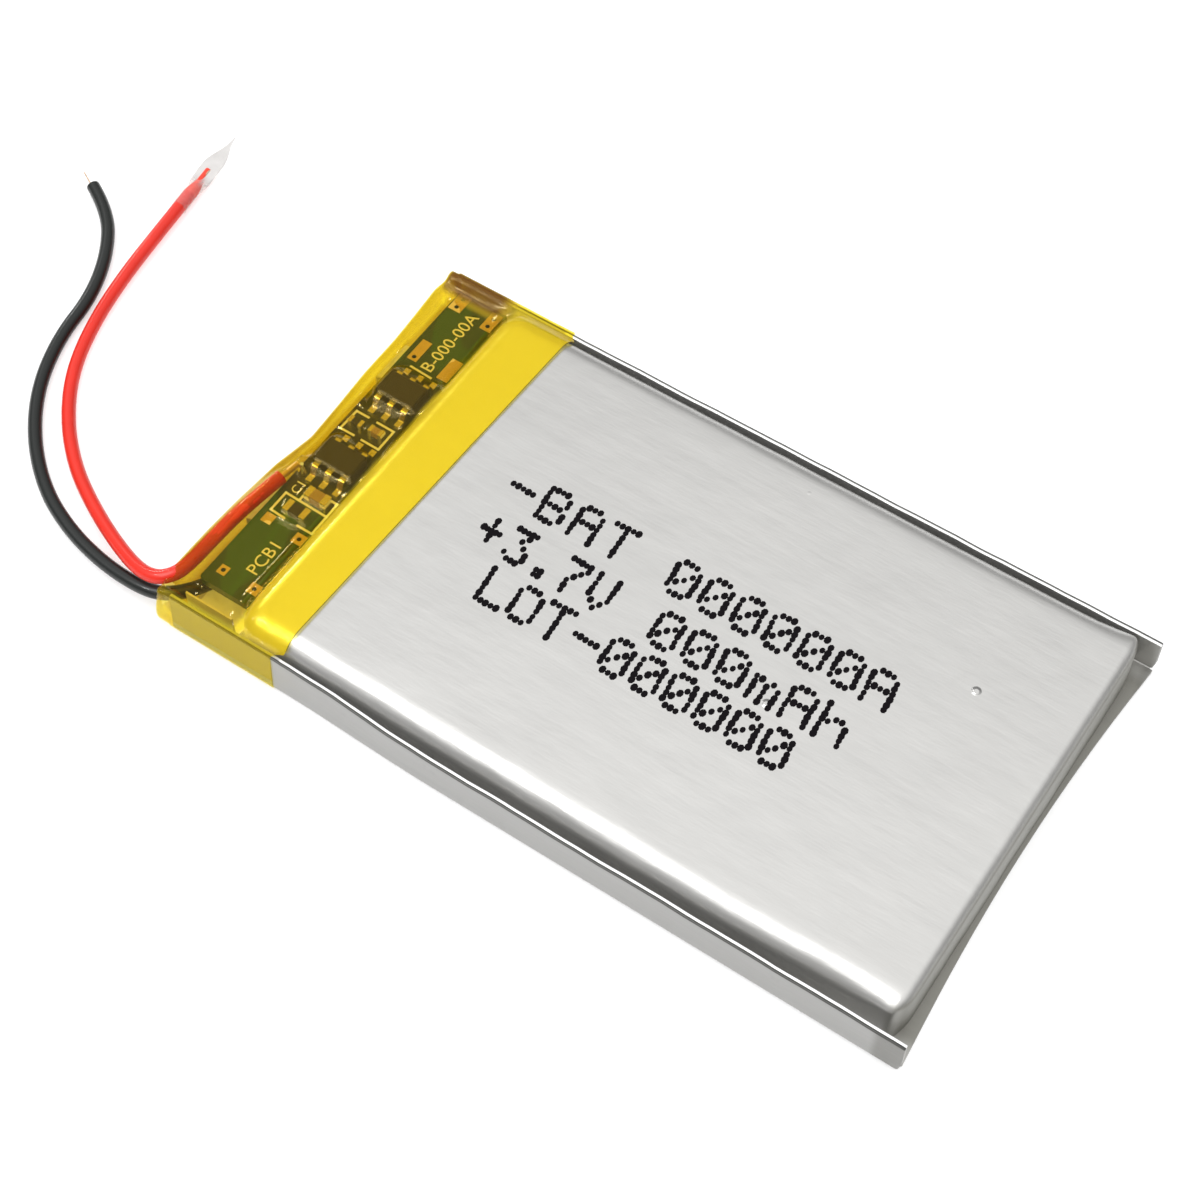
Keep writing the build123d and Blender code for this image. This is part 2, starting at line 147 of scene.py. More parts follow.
class PrintSettings(bpy.types.PropertyGroup):
    ink: bpy.props.FloatVectorProperty(
        name="Ink", description="Colour of the printed dots", subtype="COLOR",
        default=(0.004, 0.003, 0.004),
    )
    pitch: bpy.props.FloatProperty(
        name="Dot pitch", description="Distance between printed dots",
        default=0.38 * MM, unit="LENGTH",
    )


class BoardSettings(bpy.types.PropertyGroup):
    mask: bpy.props.FloatVectorProperty(
        name="Solder mask", description="Colour of the board", subtype="COLOR",
        default=(0.014, 0.088, 0.004),
    )
    gold: bpy.props.FloatVectorProperty(
        name="Pads", description="Colour of the plated pads", subtype="COLOR",
        default=(0.90, 0.66, 0.34),
    )
    legend_width: bpy.props.FloatProperty(
        name="Legend line", description="Width of the printed lines on the board",
        default=0.15 * MM, unit="LENGTH",
    )


class LeadSettings(bpy.types.PropertyGroup):
    diameter: bpy.props.FloatProperty(
        name="Diameter", description="Outside diameter of the insulation",
        default=0.9 * MM, unit="LENGTH",
    )
    red: bpy.props.FloatVectorProperty(
        name="Red", description="Colour of the positive lead", subtype="COLOR",
        default=(0.66, 0.018, 0.006),
    )
    black: bpy.props.FloatVectorProperty(
        name="Black", description="Colour of the negative lead", subtype="COLOR",
        default=(0.004, 0.006, 0.005),
    )


class FilmSettings(bpy.types.PropertyGroup):
    thickness: bpy.props.FloatProperty(
        name="Thickness", description="Thickness of the adhesive film round the head",
        default=0.06 * MM, unit="LENGTH",
    )
    single: bpy.props.FloatVectorProperty(
        name="One layer", description="What one layer of the film lets through", subtype="COLOR",
        default=(1.0, 0.965, 0.36),
    )
    double: bpy.props.FloatVectorProperty(
        name="Two layers", description="What the doubled film over the board lets through",
        subtype="COLOR", default=(0.84, 0.745, 0.32),
    )


class CoverSettings(bpy.types.PropertyGroup):
    length: bpy.props.FloatProperty(
        name="Flag length", description="Length of the cover beyond the insulation",
        default=5.8 * MM, unit="LENGTH",
    )
    half_width: bpy.props.FloatProperty(
        name="Half width", description="Half of the flag's greatest width",
        default=0.72 * MM, unit="LENGTH",
    )


class StageSettings(bpy.types.PropertyGroup):
    azimuth: bpy.props.FloatProperty(
        name="Azimuth", description="Direction that the camera looks from",
        default=math.radians(33.6), subtype="ANGLE",
    )
    elevation: bpy.props.FloatProperty(
        name="Elevation", description="Height of the camera above the horizon",
        default=math.radians(56.9), subtype="ANGLE",
    )
    roll: bpy.props.FloatProperty(
        name="Roll", description="Turn of the camera about its line of sight",
        default=math.radians(0.25), subtype="ANGLE",
    )
    distance: bpy.props.FloatProperty(
        name="Distance", description="From the camera to the point it looks at",
        default=137.5 * MM, unit="LENGTH",
    )
    target: bpy.props.FloatVectorProperty(
        name="Target", description="Point the camera looks at", subtype="TRANSLATION",
        default=(-3.52 * MM, -0.29 * MM, 2.0 * MM),
    )
    lens: bpy.props.FloatProperty(
        name="Lens", description="Focal length in millimetres on a 36 mm sensor", default=70.53,
    )


SETTINGS = {
    "pouch": PouchSettings,
    "print_marks": PrintSettings,
    "board": BoardSettings,
    "leads": LeadSettings,
    "film": FilmSettings,
    "cover": CoverSettings,
    "stage": StageSettings,
}


def settings(group):
    return getattr(bpy.context.scene, "cell_" + group)


# ---- Materials ----


class Signal:
    """A shader socket that can stand in a Python sum: each operator adds one Math node."""

    def __init__(self, nodes, socket):
        self.nodes = nodes
        self.socket = socket

    def math(self, operation, *values):
        return self.nodes.node("Math", {"operation": operation}, dict(enumerate(values)))

    def __add__(self, other):
        return self.math("ADD", self, other)

    __radd__ = __add__

    def __mul__(self, other):
        return self.math("MULTIPLY", self, other)

    __rmul__ = __mul__

    def __sub__(self, other):
        return self.math("SUBTRACT", self, other)

    def __rsub__(self, other):
        return self.math("SUBTRACT", other, self)

    def above(self, edge, blur):
        """0 below the edge and 1 above it, changing over a width of blur."""
        inputs = {0: self, 1: edge - blur / 2, 2: edge + blur / 2}
        made = {"interpolation_type": "SMOOTHSTEP"}
        return self.nodes.node("MapRange", made, inputs)

    def within(self, start, end, blur):
        """1 between the start and the end, and 0 outside them."""
        return self.above(start, blur) * (1 - self.above(end, blur))


class Nodes:
    """A node tree that starts empty."""

    def __init__(self, owner):
        owner.use_nodes = True
        self.tree = owner.node_tree
        self.tree.nodes.clear()

    def node(self, kind, made=None, inputs=None, output=0):
        """Adds a node, sets its settings, then the values or links of its sockets."""
        node = self.tree.nodes.new("ShaderNode" + kind)
        for key, value in (made or {}).items():
            if key == "stops":
                while len(node.color_ramp.elements) < len(value):
                    node.color_ramp.elements.new(0.5)
                for element, (place, colour) in zip(node.color_ramp.elements, value):
                    element.position = place
                    element.color = (*colour, 1)
            else:
                setattr(node, key, value)
        for key, value in (inputs or {}).items():
            socket = node.inputs[key]
            if isinstance(value, Signal):
                self.tree.links.new(value.socket, socket)
            elif isinstance(value, (int, float)):
                socket.default_value = value
            else:
                value = tuple(value)
                short = len(socket.default_value) - len(value)
                socket.default_value = value + (1.0,) * short
        return Signal(self, node.outputs[output]) if len(node.outputs) else None


class Finish(Nodes):
    """One material and the nodes that make it."""

    def __init__(self, name):
        self.material = bpy.data.materials.new(name)
        super().__init__(self.material)
        self.object_place = self.node("TexCoord", output="Object")

    def axis(self, name):
        """One of the object coordinates, in millimetres."""
        split = self.node("SeparateXYZ", None, {0: self.object_place}, name)
        return split * (1 / MM)

    def grain(self, size, detail=3.0, stretch=(1, 1, 1), roughness=0.5):
        """Noise from 0 to 1 with features of a size in millimetres, drawn out along an axis."""
        place = self.node("Mapping", None, {"Vector": self.object_place, "Scale": stretch})
        return self.node("TexNoise", None, {
            "Vector": place, "Scale": 1 / (size * MM), "Detail": detail, "Roughness": roughness,
        })

    def mix(self, share, first, second):
        """A colour between two, by a share from 0 to 1."""
        return self.node("Mix", {"data_type": "RGBA"}, {0: share, 6: first, 7: second}, 2)

    def bump(self, height, depth, strength=1.0):
        """A normal from a height of 0 to 1 that stands for a depth in millimetres."""
        inputs = {"Height": height, "Distance": depth * MM, "Strength": strength}
        return self.node("Bump", None, inputs)

    def principled(self, **values):
        """The main shader, its sockets named as in base_color."""
        inputs = {
            key.replace("_", " ").title().replace("Ior", "IOR"): value
            for key, value in values.items()
        }
        return self.node("BsdfPrincipled", None, inputs)

    def blend(self, share, first, second):
        """A shader between two, by a share from 0 to 1."""
        return self.node("MixShader", None, {0: share, 1: first, 2: second})

    def done(self, surface):
        self.node("OutputMaterial", None, {"Surface": surface})
        return self.material


# painted shade colour for the middle of the board, between the chips
CHIP_SHADE_BROWN = (0.016, 0.009, 0.002)
# painted shadow colour for the film's far head corner
FOLD_SHADOW_BROWN = (0.15, 0.055, 0.002)
HAZE_YELLOW = (1.0, 0.72, 0.02)
EDGE_BROWN = (0.05, 0.03, 0.005)


def shades(colour, low_share, high_share):
    """A colour darkened and lightened by two shares."""
    return [tuple(min(1.0, c * share) for c in colour) for share in (low_share, high_share)]


def laminate_finish(name, share, painted_rim_tone, rim_depth, rim_start):
    """Nylon over aluminium: satin, faintly mottled, with fine draw lines and small scuffs."""
    finish = Finish(name)
    silver = [channel * share for channel in settings("pouch").silver]
    dark, light = shades(silver, 0.90, 1.07)
    mottle = finish.grain(7.0, 4)
    lines = finish.grain(0.9, 5, (0.18, 1, 1), 0.6)
    scuffs = finish.grain(1.6, 6, (1, 0.35, 1), 0.7).above(0.66, 0.06)
    x, y, z = (finish.axis(letter) for letter in "XYZ")
    side = y.math("ABSOLUTE", y)
    # painted shade: the tail wall and the flanges below it are painted a darker olive grey, less so
    # near the ears; the same mask also roughens them and keeps the pits off them
    painted_tail_shade = x.above(23.6, 0.6) * (1 - z.above(3.62, 0.3)) * (1 - side.above(13.6, 1.0) * 0.45)
    tail_shade_olive = [channel * tone for channel, tone in zip(silver, (0.46, 0.455, 0.42))]
    colour = finish.mix(mottle * 0.55 + lines * 0.45, dark, light)
    colour = finish.mix(painted_tail_shade, colour, tail_shade_olive)
    # painted rim line: a thin band along the top of the side seals' rim, a painted highlight on the
    # cup half and a painted dark shade line on the flat half
    rim = x.above(rim_start, 0.2) * side.above(14.2, 0.05) * z.above(SEAL_TOP - rim_depth, 0.04)
    colour = finish.mix(rim, colour, painted_rim_tone)
    surface = lines * 0.35 + finish.grain(3.2, 2) * 0.65 + finish.grain(13.0, 2) * 0.9
    spots = finish.node("TexVoronoi", None, {"Vector": finish.object_place, "Scale": 120.0})
    pits = (1 - spots.above(0.028, 0.024)) * (1 - painted_tail_shade)
    surface = surface + pits * 1.3
    return finish.done(finish.principled(
        base_color=colour,
        metallic=0.82,
        roughness=0.26 + mottle * 0.08 + lines * 0.06 + scuffs * 0.08 + painted_tail_shade * 0.2,
        specular_ior_level=0.5,
        coat_weight=0.2,
        coat_roughness=0.28,
        normal=finish.bump(surface, 0.12, 0.7),
    ))


def film_finish():
    """Amber adhesive film: clear and glossy, deeper where it lies double over the board."""
    finish = Finish("amber_film")
    film = settings("film")
    x, y = finish.axis("X"), finish.axis("Y")
    sideways = y.math("ABSOLUTE", y)
    wander = x + finish.grain(5.0) * 0.6
    over_board = wander.within(-24.0, -19.35, 0.7) * (1 - sideways.above(14.2, 0.5))
    # the far head corner, where the film folds double: a deeper tint, and a painted shadow of dark
    # orange brown mixed in through the haze
    far_fold_shadow = y.above(13.3, 0.9) * (1 - wander.above(-19.8, 1.6)) * wander.above(-24.6, 0.5)
    near_fold = (1 - wander.above(-24.0, 0.5)) * (1 - y.above(3.0, 6.0) * 0.45)
    near_fold = near_fold * (1 - sideways.above(14.0, 0.5))
    doubled = over_board.math("MAXIMUM", over_board, far_fold_shadow)
    doubled = doubled.math("MAXIMUM", doubled, near_fold)
    doubled = doubled.math("MAXIMUM", doubled, sideways.above(14.3, 0.4) * 0.3)
    tint = finish.blend(
        doubled,
        finish.node("BsdfTransparent", None, {"Color": film.single}),
        finish.node("BsdfTransparent", None, {"Color": film.double}),
    )
    edge = (x - y * 0.03).above(TAPE_EDGE_X + 0.49, 0.03)
    haze_yellow_or_shadow_brown = finish.mix(far_fold_shadow, HAZE_YELLOW, FOLD_SHADOW_BROWN)
    haze = finish.principled(
        base_color=finish.mix(edge, haze_yellow_or_shadow_brown, EDGE_BROWN),
        roughness=0.6,
        specular_ior_level=0.1,
    )
    crinkle = finish.grain(1.1, 5, (1, 0.5, 1), 0.6)
    gloss = finish.principled(
        base_color=(0.95, 0.82, 0.52),
        metallic=1.0,
        roughness=0.06 + finish.grain(2.5) * 0.08,
        normal=finish.bump(crinkle, 0.05, 0.7),
    )
    head_strip = (1 - wander.above(-24.1, 0.4)) * y.above(6.0, 7.0)
    on_wall = sideways.above(14.3, 0.4)
    plain = wander.above(-19.25, 0.5) * (1 - on_wall) * 0.20 + head_strip * 0.05 + on_wall * 0.05
    clouded = finish.blend(0.006 + plain + edge * 0.5 + far_fold_shadow * 0.48, tint, haze)
    slant = finish.node("LayerWeight", None, {"Blend": 0.5}, "Facing")
    share = slant * slant * slant * 0.35 + 0.014
    return finish.done(finish.blend(share, clouded, gloss))


def plain_finish(
    name, colour, roughness, metallic=0.0, grain_size=0.8, depth=0.004, spread=0.12
):
    """A finish whose colour and roughness vary a little with a fine grain."""
    finish = Finish(name)
    dark, light = shades(colour, 1 - spread, 1 + spread)
    grain = finish.grain(grain_size, 4)
    return finish.done(finish.principled(
        base_color=finish.mix(grain, dark, light),
        roughness=roughness * 0.8 + grain * (roughness * 0.4),
        metallic=metallic,
        normal=finish.bump(grain, depth, 0.5),
    ))


def board_finish():
    """Green solder mask: the tracks show faintly through it, under painted brown shade in the
    middle between the chips.
    """
    finish = Finish("solder_mask")
    mask = settings("board").mask
    dark, light = shades(mask, 0.6, 1.25)
    x, y = finish.axis("X"), finish.axis("Y")
    track = (x + y * 0.12).within(-23.1, -22.75, 0.05) + x.within(-20.55, -20.38, 0.05)
    pours = finish.grain(2.6, 0, (1, 0.5, 1)).above(0.52, 0.03)
    raised = track.math("MINIMUM", track + pours * 0.7, 1.0)
    # painted shade: the middle of the board, between and round the chips, darkened to brown
    painted_chip_shade = y.within(-4.6, 6.9, 1.2) * (0.68 + finish.grain(1.5) * 0.35)
    return finish.done(finish.principled(
        base_color=finish.mix(painted_chip_shade, finish.mix(raised, dark, light), CHIP_SHADE_BROWN),
        roughness=0.28 + finish.grain(0.5) * 0.1,
        coat_weight=0.4,
        coat_roughness=0.15,
        normal=finish.bump(raised, 0.02, 0.6),
    ))


def coil_finish(name, colour, metallic):
    """A coated strip, with streaks along its length."""
    finish = Finish(name)
    dark, light = shades(colour, 0.8, 1.3)
    streaks = finish.grain(0.6, 3, (0.05, 1, 1))
    return finish.done(finish.principled(
        base_color=finish.mix(streaks, dark, light),
        roughness=0.55 + streaks * 0.2,
        metallic=metallic,
        normal=finish.bump(streaks, 0.004),
    ))


def insulation_finish(name, colour):
    """Soft extruded insulation: satin, with faint handling marks."""
    finish = Finish(name)
    dark, light = shades(colour, 0.88, 1.15)
    marks = finish.grain(1.5, 4)
    fine = finish.grain(0.12, 2)
    return finish.done(finish.principled(
        base_color=finish.mix(marks, dark, light),
        roughness=0.34 + marks * 0.14,
        specular_ior_level=0.3,
        coat_weight=0.28,
        coat_roughness=0.12,
        normal=finish.bump(fine, 0.006, 0.5),
    ))


def cover_finish():
    """Milky translucent film, clearer over the end of the lead."""
    finish = Finish("milky_film")
    cloud = finish.grain(1.2, 3)
    flag = finish.axis("Y").above(13.3, 1.6)
    body = finish.principled(
        base_color=finish.mix(cloud, (0.56, 0.545, 0.535), (0.70, 0.685, 0.675)),
        roughness=0.28 + cloud * 0.12,
        coat_weight=0.3,
        coat_roughness=0.1,
        normal=finish.bump(cloud, 0.02, 0.6),
    )
    clear = finish.node("BsdfTransparent", None, {"Color": (0.975, 0.970, 0.965)})
    return finish.done(finish.blend(0.07 + flag * (0.50 + cloud * 0.2), clear, body))


def ink_finish():
    """Dried ink: near black, a little raised and glossy."""
    finish = Finish("ink")
    dark, light = shades(settings("print_marks").ink, 0.7, 1.6)
    grain = finish.grain(0.15, 3)
    return finish.done(finish.principled(
        base_color=finish.mix(grain, dark, light),
        roughness=0.55 + grain * 0.2,
        specular_ior_level=0.06,
        normal=finish.bump(grain, 0.01),
    ))


# ---- Modelling helpers ----


def clear_selection():
    """Leaves edit mode and deselects everything."""
    if bpy.context.object and bpy.context.object.mode != "OBJECT":
        bpy.ops.object.mode_set(mode="OBJECT")
    bpy.ops.object.select_all(action="DESELECT")


def only(piece):
    """Selects one piece and makes it the active one."""
    clear_selection()
    piece.select_set(True)
    bpy.context.view_layer.objects.active = piece


@contextmanager
def editing(piece):
    """Edit mode on one piece."""
    only(piece)
    bpy.ops.object.mode_set(mode="EDIT")
    yield
    bpy.ops.object.mode_set(mode="OBJECT")


def block(name, start, end):
    """A box between two corners in millimetres, with its place in its mesh."""
    clear_selection()
    centre = [(a + b) / 2 * MM for a, b in zip(start, end)]
    bpy.ops.mesh.primitive_cube_add(size=1, location=centre)
    piece = bpy.context.object
    piece.name = name
    piece.scale = [(b - a) * MM for a, b in zip(start, end)]
    settle(piece)
    return piece


def settle(piece):
    """Puts the piece's place, turn and size into its mesh."""
    only(piece)
    bpy.ops.object.transform_apply(location=True, rotation=True, scale=True)


def deselect_mesh(piece, kind):
    """Deselects all of a piece's mesh, ready for faces, edges or vertices to be picked."""
    with editing(piece):
        bpy.ops.mesh.select_mode(type=kind)
        bpy.ops.mesh.select_all(action="DESELECT")


def bevel_edges(piece, test, radius, segments):
    """Rounds the edges whose two ends, in millimetres, pass a test."""
    deselect_mesh(piece, "EDGE")
    places = [v.co / MM for v in piece.data.vertices]
    for edge in piece.data.edges:
        edge.select = test(*(places[i] for i in edge.vertices))
    with editing(piece):
        bpy.ops.mesh.bevel(offset=radius * MM, segments=segments, affect="EDGES")


def remove_faces(piece, test):
    """Deletes the faces whose centre, in millimetres, and normal pass a test."""
    deselect_mesh(piece, "FACE")
    for face in piece.data.polygons:
        face.select = test(face.center / MM, face.normal)
    with editing(piece):
        bpy.ops.mesh.delete(type="FACE")


def slice_along(piece, axis, places):
    """Cuts the piece's faces at each place along an axis, in millimetres."""
    normal = [1.0 if name == axis else 0.0 for name in "XYZ"]
    with editing(piece):
        for place in places:
            bpy.ops.mesh.select_all(action="SELECT")
            bpy.ops.mesh.bisect(
                plane_co=[place * MM * n for n in normal], plane_no=normal, threshold=1e-7
            )


def steps(start, end, count):
    """The places that cut a length into equal steps, without its ends."""
    return [start + (end - start) * i / count for i in range(1, count)]


def reshape(piece, move):
    """Moves every vertex: move takes and gives a place in millimetres."""
    for vertex in piece.data.vertices:
        vertex.co = Vector(move(*(vertex.co / MM))) * MM
    piece.data.update()


def thicken(piece, thickness, offset=-1.0):
    only(piece)
    wall = piece.modifiers.new("wall", "SOLIDIFY")
    wall.thickness = thickness
    wall.offset = offset
    wall.use_even_offset = True
    bpy.ops.object.modifier_apply(modifier=wall.name)


def round_edges(piece, width, segments=2, angle=30):
    only(piece)
    bevel = piece.modifiers.new("edges", "BEVEL")
    bevel.width = width * MM
    bevel.segments = segments
    bevel.angle_limit = math.radians(angle)
    bpy.ops.object.modifier_apply(modifier=bevel.name)


def join(pieces, name):
    clear_selection()
    for piece in pieces:
        piece.select_set(True)
    bpy.context.view_layer.objects.active = pieces[0]
    if len(pieces) > 1:
        bpy.ops.object.join()
    pieces[0].name = name
    return pieces[0]


def smooth(piece, angle=40):
    only(piece)
    bpy.ops.object.shade_smooth_by_angle(angle=math.radians(angle))


def dress(piece, material):
    piece.data.materials.clear()
    piece.data.materials.append(material)


def dress_nodes(finishes):
    """Gives CAD nodes their materials."""
    for node, material in finishes.items():
        dress(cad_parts[node], material)


def fit(piece, body, slot, *nodes):
    """Rides a piece on its body and hides the CAD nodes that it stands for. The slot is not used.
    """
    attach(piece, body)
    if nodes:
        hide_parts(*nodes)


def step(value, start, end):
    """0 before the start and 1 after the end, with a smooth ramp between them."""
    share = min(1.0, max(0.0, (value - start) / (end - start)))
    return share * share * (3 - 2 * share)


def round_off(radius, past):
    """How far a rounded corner has dropped, past the start of its arc."""
    past = min(radius, max(0.0, past))
    return radius - math.sqrt(radius**2 - past**2)


def hill(distance, width):
    """1 at no distance, falling smoothly away over a width."""
    return math.exp(-((distance / width) ** 2))


def ripple(x, y, seed=0.0):
    """A fixed, uneven wave from about -1 to 1, for soft dents."""
    return 0.5 * (
        math.sin(0.61 * x + 1.3 * math.sin(0.37 * y + seed) + seed)
        * math.cos(0.53 * y - 0.9 * math.sin(0.29 * x + 2 * seed))
        + 0.6 * math.sin(1.7 * x + 0.8 * y + 3 * seed) * math.sin(1.3 * y - 0.5 * x + seed)
    )


# ---- Pouch ----

def tail_reach(y, z):
    """Where the laminate ends at the tail: curved in between two ears with round low corners."""
    reach = TAIL_MID_X + (TAIL_X - TAIL_MID_X) * (y / HALF_WIDTH) ** 2
    if abs(y) > HALF_WIDTH - 0.4:
        reach -= round_off(EAR_ROUND, EAR_ROUND - z)
    return reach


# the tray's straight tail is drawn in to its real outline from here on
TAIL_DRAWN_X = 18


def laminate_tray(name, layer):
    """One layer of the pouch's floor with its two side seals folded up."""
    half = HALF_WIDTH - LAMINATE * (layer + 0.5)
    floor = LAMINATE * (layer + 0.5)
    bend = SEAL_BEND - LAMINATE * layer
    piece = block(name, (HEAD_X, -half, floor), (TAIL_X, half, SEAL_TOP))
    remove_faces(piece, lambda c, n: abs(n.x) > 0.5 or n.z > 0.5)
    bevel_edges(piece, lambda a, b: max(a.z, b.z) < floor + 0.01 and abs(a.y - b.y) < 0.01, bend, 6)
    slice_along(piece, "X", steps(HEAD_X, TAIL_X, 62) + [TAPE_EDGE_X - 0.15, TAPE_EDGE_X + 0.15])
    slice_along(piece, "Z", [1.0, 1.6, 2.2, 2.8])
    for tab_y in TAB_Y:
        slice_along(piece, "Y", [tab_y + side * reach for side in (-1, 1) for reach in (2.5, 2.8)])
    slice_along(piece, "Y", steps(-14, 14, 14))

    def shape(x, y, z):
        under_tape = 1 - step(x, TAPE_EDGE_X - 0.15, TAPE_EDGE_X + 0.15)
        if x > TAIL_DRAWN_X:
            drawn = (tail_reach(y, z) - TAIL_DRAWN_X) / (TAIL_X - TAIL_DRAWN_X)
            x = TAIL_DRAWN_X + (x - TAIL_DRAWN_X) * drawn
        if abs(y) > half - 0.02:
            height = max(0.0, z - floor) / (SEAL_TOP - floor)
            sway = 0.05 * ripple(x, 9 if y > 0 else -4) * height * (1 - under_tape)
            upright = 0.2 * (1 - under_tape) * step(x, -16, -4) if y < 0 else 0
            lean = (SEAL_LEAN - upright) * height + sway
            y -= math.copysign(lean, y)
            z += 0.03 * ripple(1.7 * x, 3, 1.0) * height * (1 - under_tape)
        elif z < floor + 0.02:
            z += 0.06 * under_tape
            if layer and x < CUP_HEAD_X:
                z += 0.2 * max(step(2.9 - abs(y - tab_y), 0.0, 0.35) for tab_y in TAB_Y)
        # the near wall bows out
        y -= 0.25 * step(x, -16, -5) * step(-y, 12.5, 14.0)
        return x, y, z

    reshape(piece, shape)
    thicken(piece, LAMINATE * MM, 0.0)
    round_edges(piece, 0.07, 3, 60)
    return piece


def cup_shell():
    """The drawn cup: rounded all round, faintly crowned, with soft dents."""
    pouch = settings("pouch")
    piece = block(
        "cup", (CUP_HEAD_X, -CUP_HALF_WIDTH, 2 * LAMINATE), (CUP_TAIL_X, CUP_HALF_WIDTH, CUP_TOP)
    )
    bevel_edges(piece, lambda a, b: (a - b).xy.length < 0.01, CUP_CORNER, 8)
    bevel_edges(piece, lambda a, b: min(a.z, b.z) > CUP_TOP - 0.01, CUP_SHOULDER, 10)
    remove_faces(piece, lambda c, n: n.z < -0.5)
    slice_along(piece, "X", steps(CUP_HEAD_X, CUP_TAIL_X, 60))
    slice_along(piece, "Y", steps(-CUP_HALF_WIDTH, CUP_HALF_WIDTH, 40))
    slice_along(piece, "Z", [0.9, 1.6])
    crown, wave = pouch.crown / MM, pouch.waviness / MM

    def shape(x, y, z):
        across = 1 - (y / CUP_HALF_WIDTH) ** 2
        along = 1 - ((x - 2.2) / 22.2) ** 4
        up = step(z, 2.4, CUP_TOP)
        z += up * (crown * (across * along - 1) + wave * ripple(x, y, 0.7))
        z -= up * 0.05 * hill(math.hypot(x + 3.2, y - 6.2), 1.1)
        foot = 1 - step(z, 0.3, 2.5)
        y += math.copysign(0.28 * foot + 0.03 * ripple(x, 5, 2.0), y) * step(abs(y), 12.5, 14)
        y -= (0.12 * step(x, -16, -5) - 0.34 * step(x, 12, 24)) * step(-y, 11.5, 13.5)
        # the tail's shoulder is tighter than the sides'
        z = CUP_TOP - (CUP_TOP - z) * (1 - 0.55 * step(x, 21.0, 23.6) * step(z, 2.0, 2.4))
        if x > 21.0:
            x += 0.85 * (step(x, 21.0, 22.8) if x < 22.8 else (CUP_TAIL_X - x) / 1.5)
            x += 0.05 * ripple(3, y, 1.5) * foot
        return x, y, z

    reshape(piece, shape)
    thicken(piece, LAMINATE * MM, -1.0)
    return piece


class CELL_OT_pouch(bpy.types.Operator):
    """Makes the two halves of the laminate pouch, with the seals folded up at its sides"""

    bl_idname = "cell.pouch"
    bl_label = "Pouch"

    def execute(self, context):
        flat = laminate_tray("pouch_flat", 0)
        inner = laminate_tray("pouch_rim", 1)
        margin = 2.0  # the rim of the cup half reaches this far in under the cup
        remove_faces(
            inner,
            lambda c, n: CUP_HEAD_X + margin < c.x < CUP_TAIL_X - margin
            and abs(c.y) < CUP_HALF_WIDTH - margin,
        )
        cup = join([cup_shell(), inner], "pouch_cup")
        # the flat half takes a darker copy of the same laminate (0.64) as painted shade on its
        # walls and flanges, and a near black painted shade line on its rim top; the cup half gets a
        # near white painted highlight line on its rim top past the film's edge
        outside = laminate_finish("laminate_back", 0.64, (0.07, 0.07, 0.065), 0.10, HEAD_X)
        inside = laminate_finish("laminate", 1.0, (0.92, 0.92, 0.91), 0.05, TAPE_EDGE_X)
        for piece, node, laminate in (
            (flat, "pouch_flat_half", outside),
            (cup, "pouch_cup_half", inside),
        ):
            dress(piece, laminate)
            smooth(piece, 35)
            fit(piece, "cell", "laminate", node)
        return {"FINISHED"}


# ---- Printed marks on the cup ----

GLYPHS = {
    "0": ("01110", "10001", "10011", "10101", "11001", "10001", "01110"),
    "3": ("11111", "00010", "00100", "00010", "00001", "10001", "01110"),
    "7": ("11111", "00001", "00010", "00100", "01000", "01000", "01000"),
    ".": ("00000", "00000", "00000", "00000", "00000", "01100", "01100"),
    "+": ("00000", "00100", "00100", "11111", "00100", "00100", "00000"),
    "-": ("00000", "00000", "00000", "11111", "00000", "00000", "00000"),
    "A": ("01110", "10001", "10001", "11111", "10001", "10001", "10001"),
    "B": ("11110", "10001", "10001", "11110", "10001", "10001", "11110"),
    "L": ("10000", "10000", "10000", "10000", "10000", "10000", "11111"),
    "O": ("01110", "10001", "10001", "10001", "10001", "10001", "01110"),
    "T": ("11111", "00100", "00100", "00100", "00100", "00100", "00100"),
    "V": ("10001", "10001", "10001", "10001", "10001", "01010", "00100"),
    "h": ("10000", "10000", "10110", "11001", "10001", "10001", "10001"),
    "m": ("00000", "00000", "11010", "10101", "10101", "10101", "10101"),
}
# text, x of its start, x of its end, y of its foot, in millimetres
ROWS = [
    ("-", -11.6, -9.6, 1.55),
    ("BAT", -9.3, -3.3, 1.50),
    ("000000A", -0.2, 14.4, 1.40),
    ("+", -11.2, -9.7, -1.95),
    ("3.7V", -9.3, -2.3, -2.00),
    ("000mAh", 0.9, 13.4, -2.10),
    ("LOT-000000", -8.9, 11.5, -5.15),
]


DOT_RADIUS = 0.212
DOT_SIDES = 8


def dot_places(pitch):
    """The middle and radius of each ink dot, in millimetres, a little uneven."""
    count = 0
    for text, start, end, foot in ROWS:
        column = min(pitch, (end - start) / (5.6 * len(text)))
        advance = (end - start - 4 * column) / max(1, len(text) - 1)
        for place, letter in enumerate(text):
            for row, line in enumerate(GLYPHS[letter]):
                for dot, mark in enumerate(line):
                    if mark == "0":
                        continue
                    count += 1
                    height = 6 - row
                    x = start + place * advance + dot * column - 0.035 * height
                    y = foot + height * pitch * 0.97
                    yield (
                        x + 0.03 * math.sin(count * 12.9898),
                        y + 0.03 * math.sin(count * 7.23),
                        DOT_RADIUS + 0.03 * math.sin(count * 3.7),
                    )


def cup_height(x, y):
    """Height of the cup's top surface under a printed dot, from the finished cup."""
    cup = bpy.data.objects["pouch_cup"]
    start = Vector((x * MM, y * MM, 10 * MM))
    hit, place, _, _ = cup.ray_cast(start, Vector((0, 0, -1)))
    return place.z / MM if hit else CUP_TOP


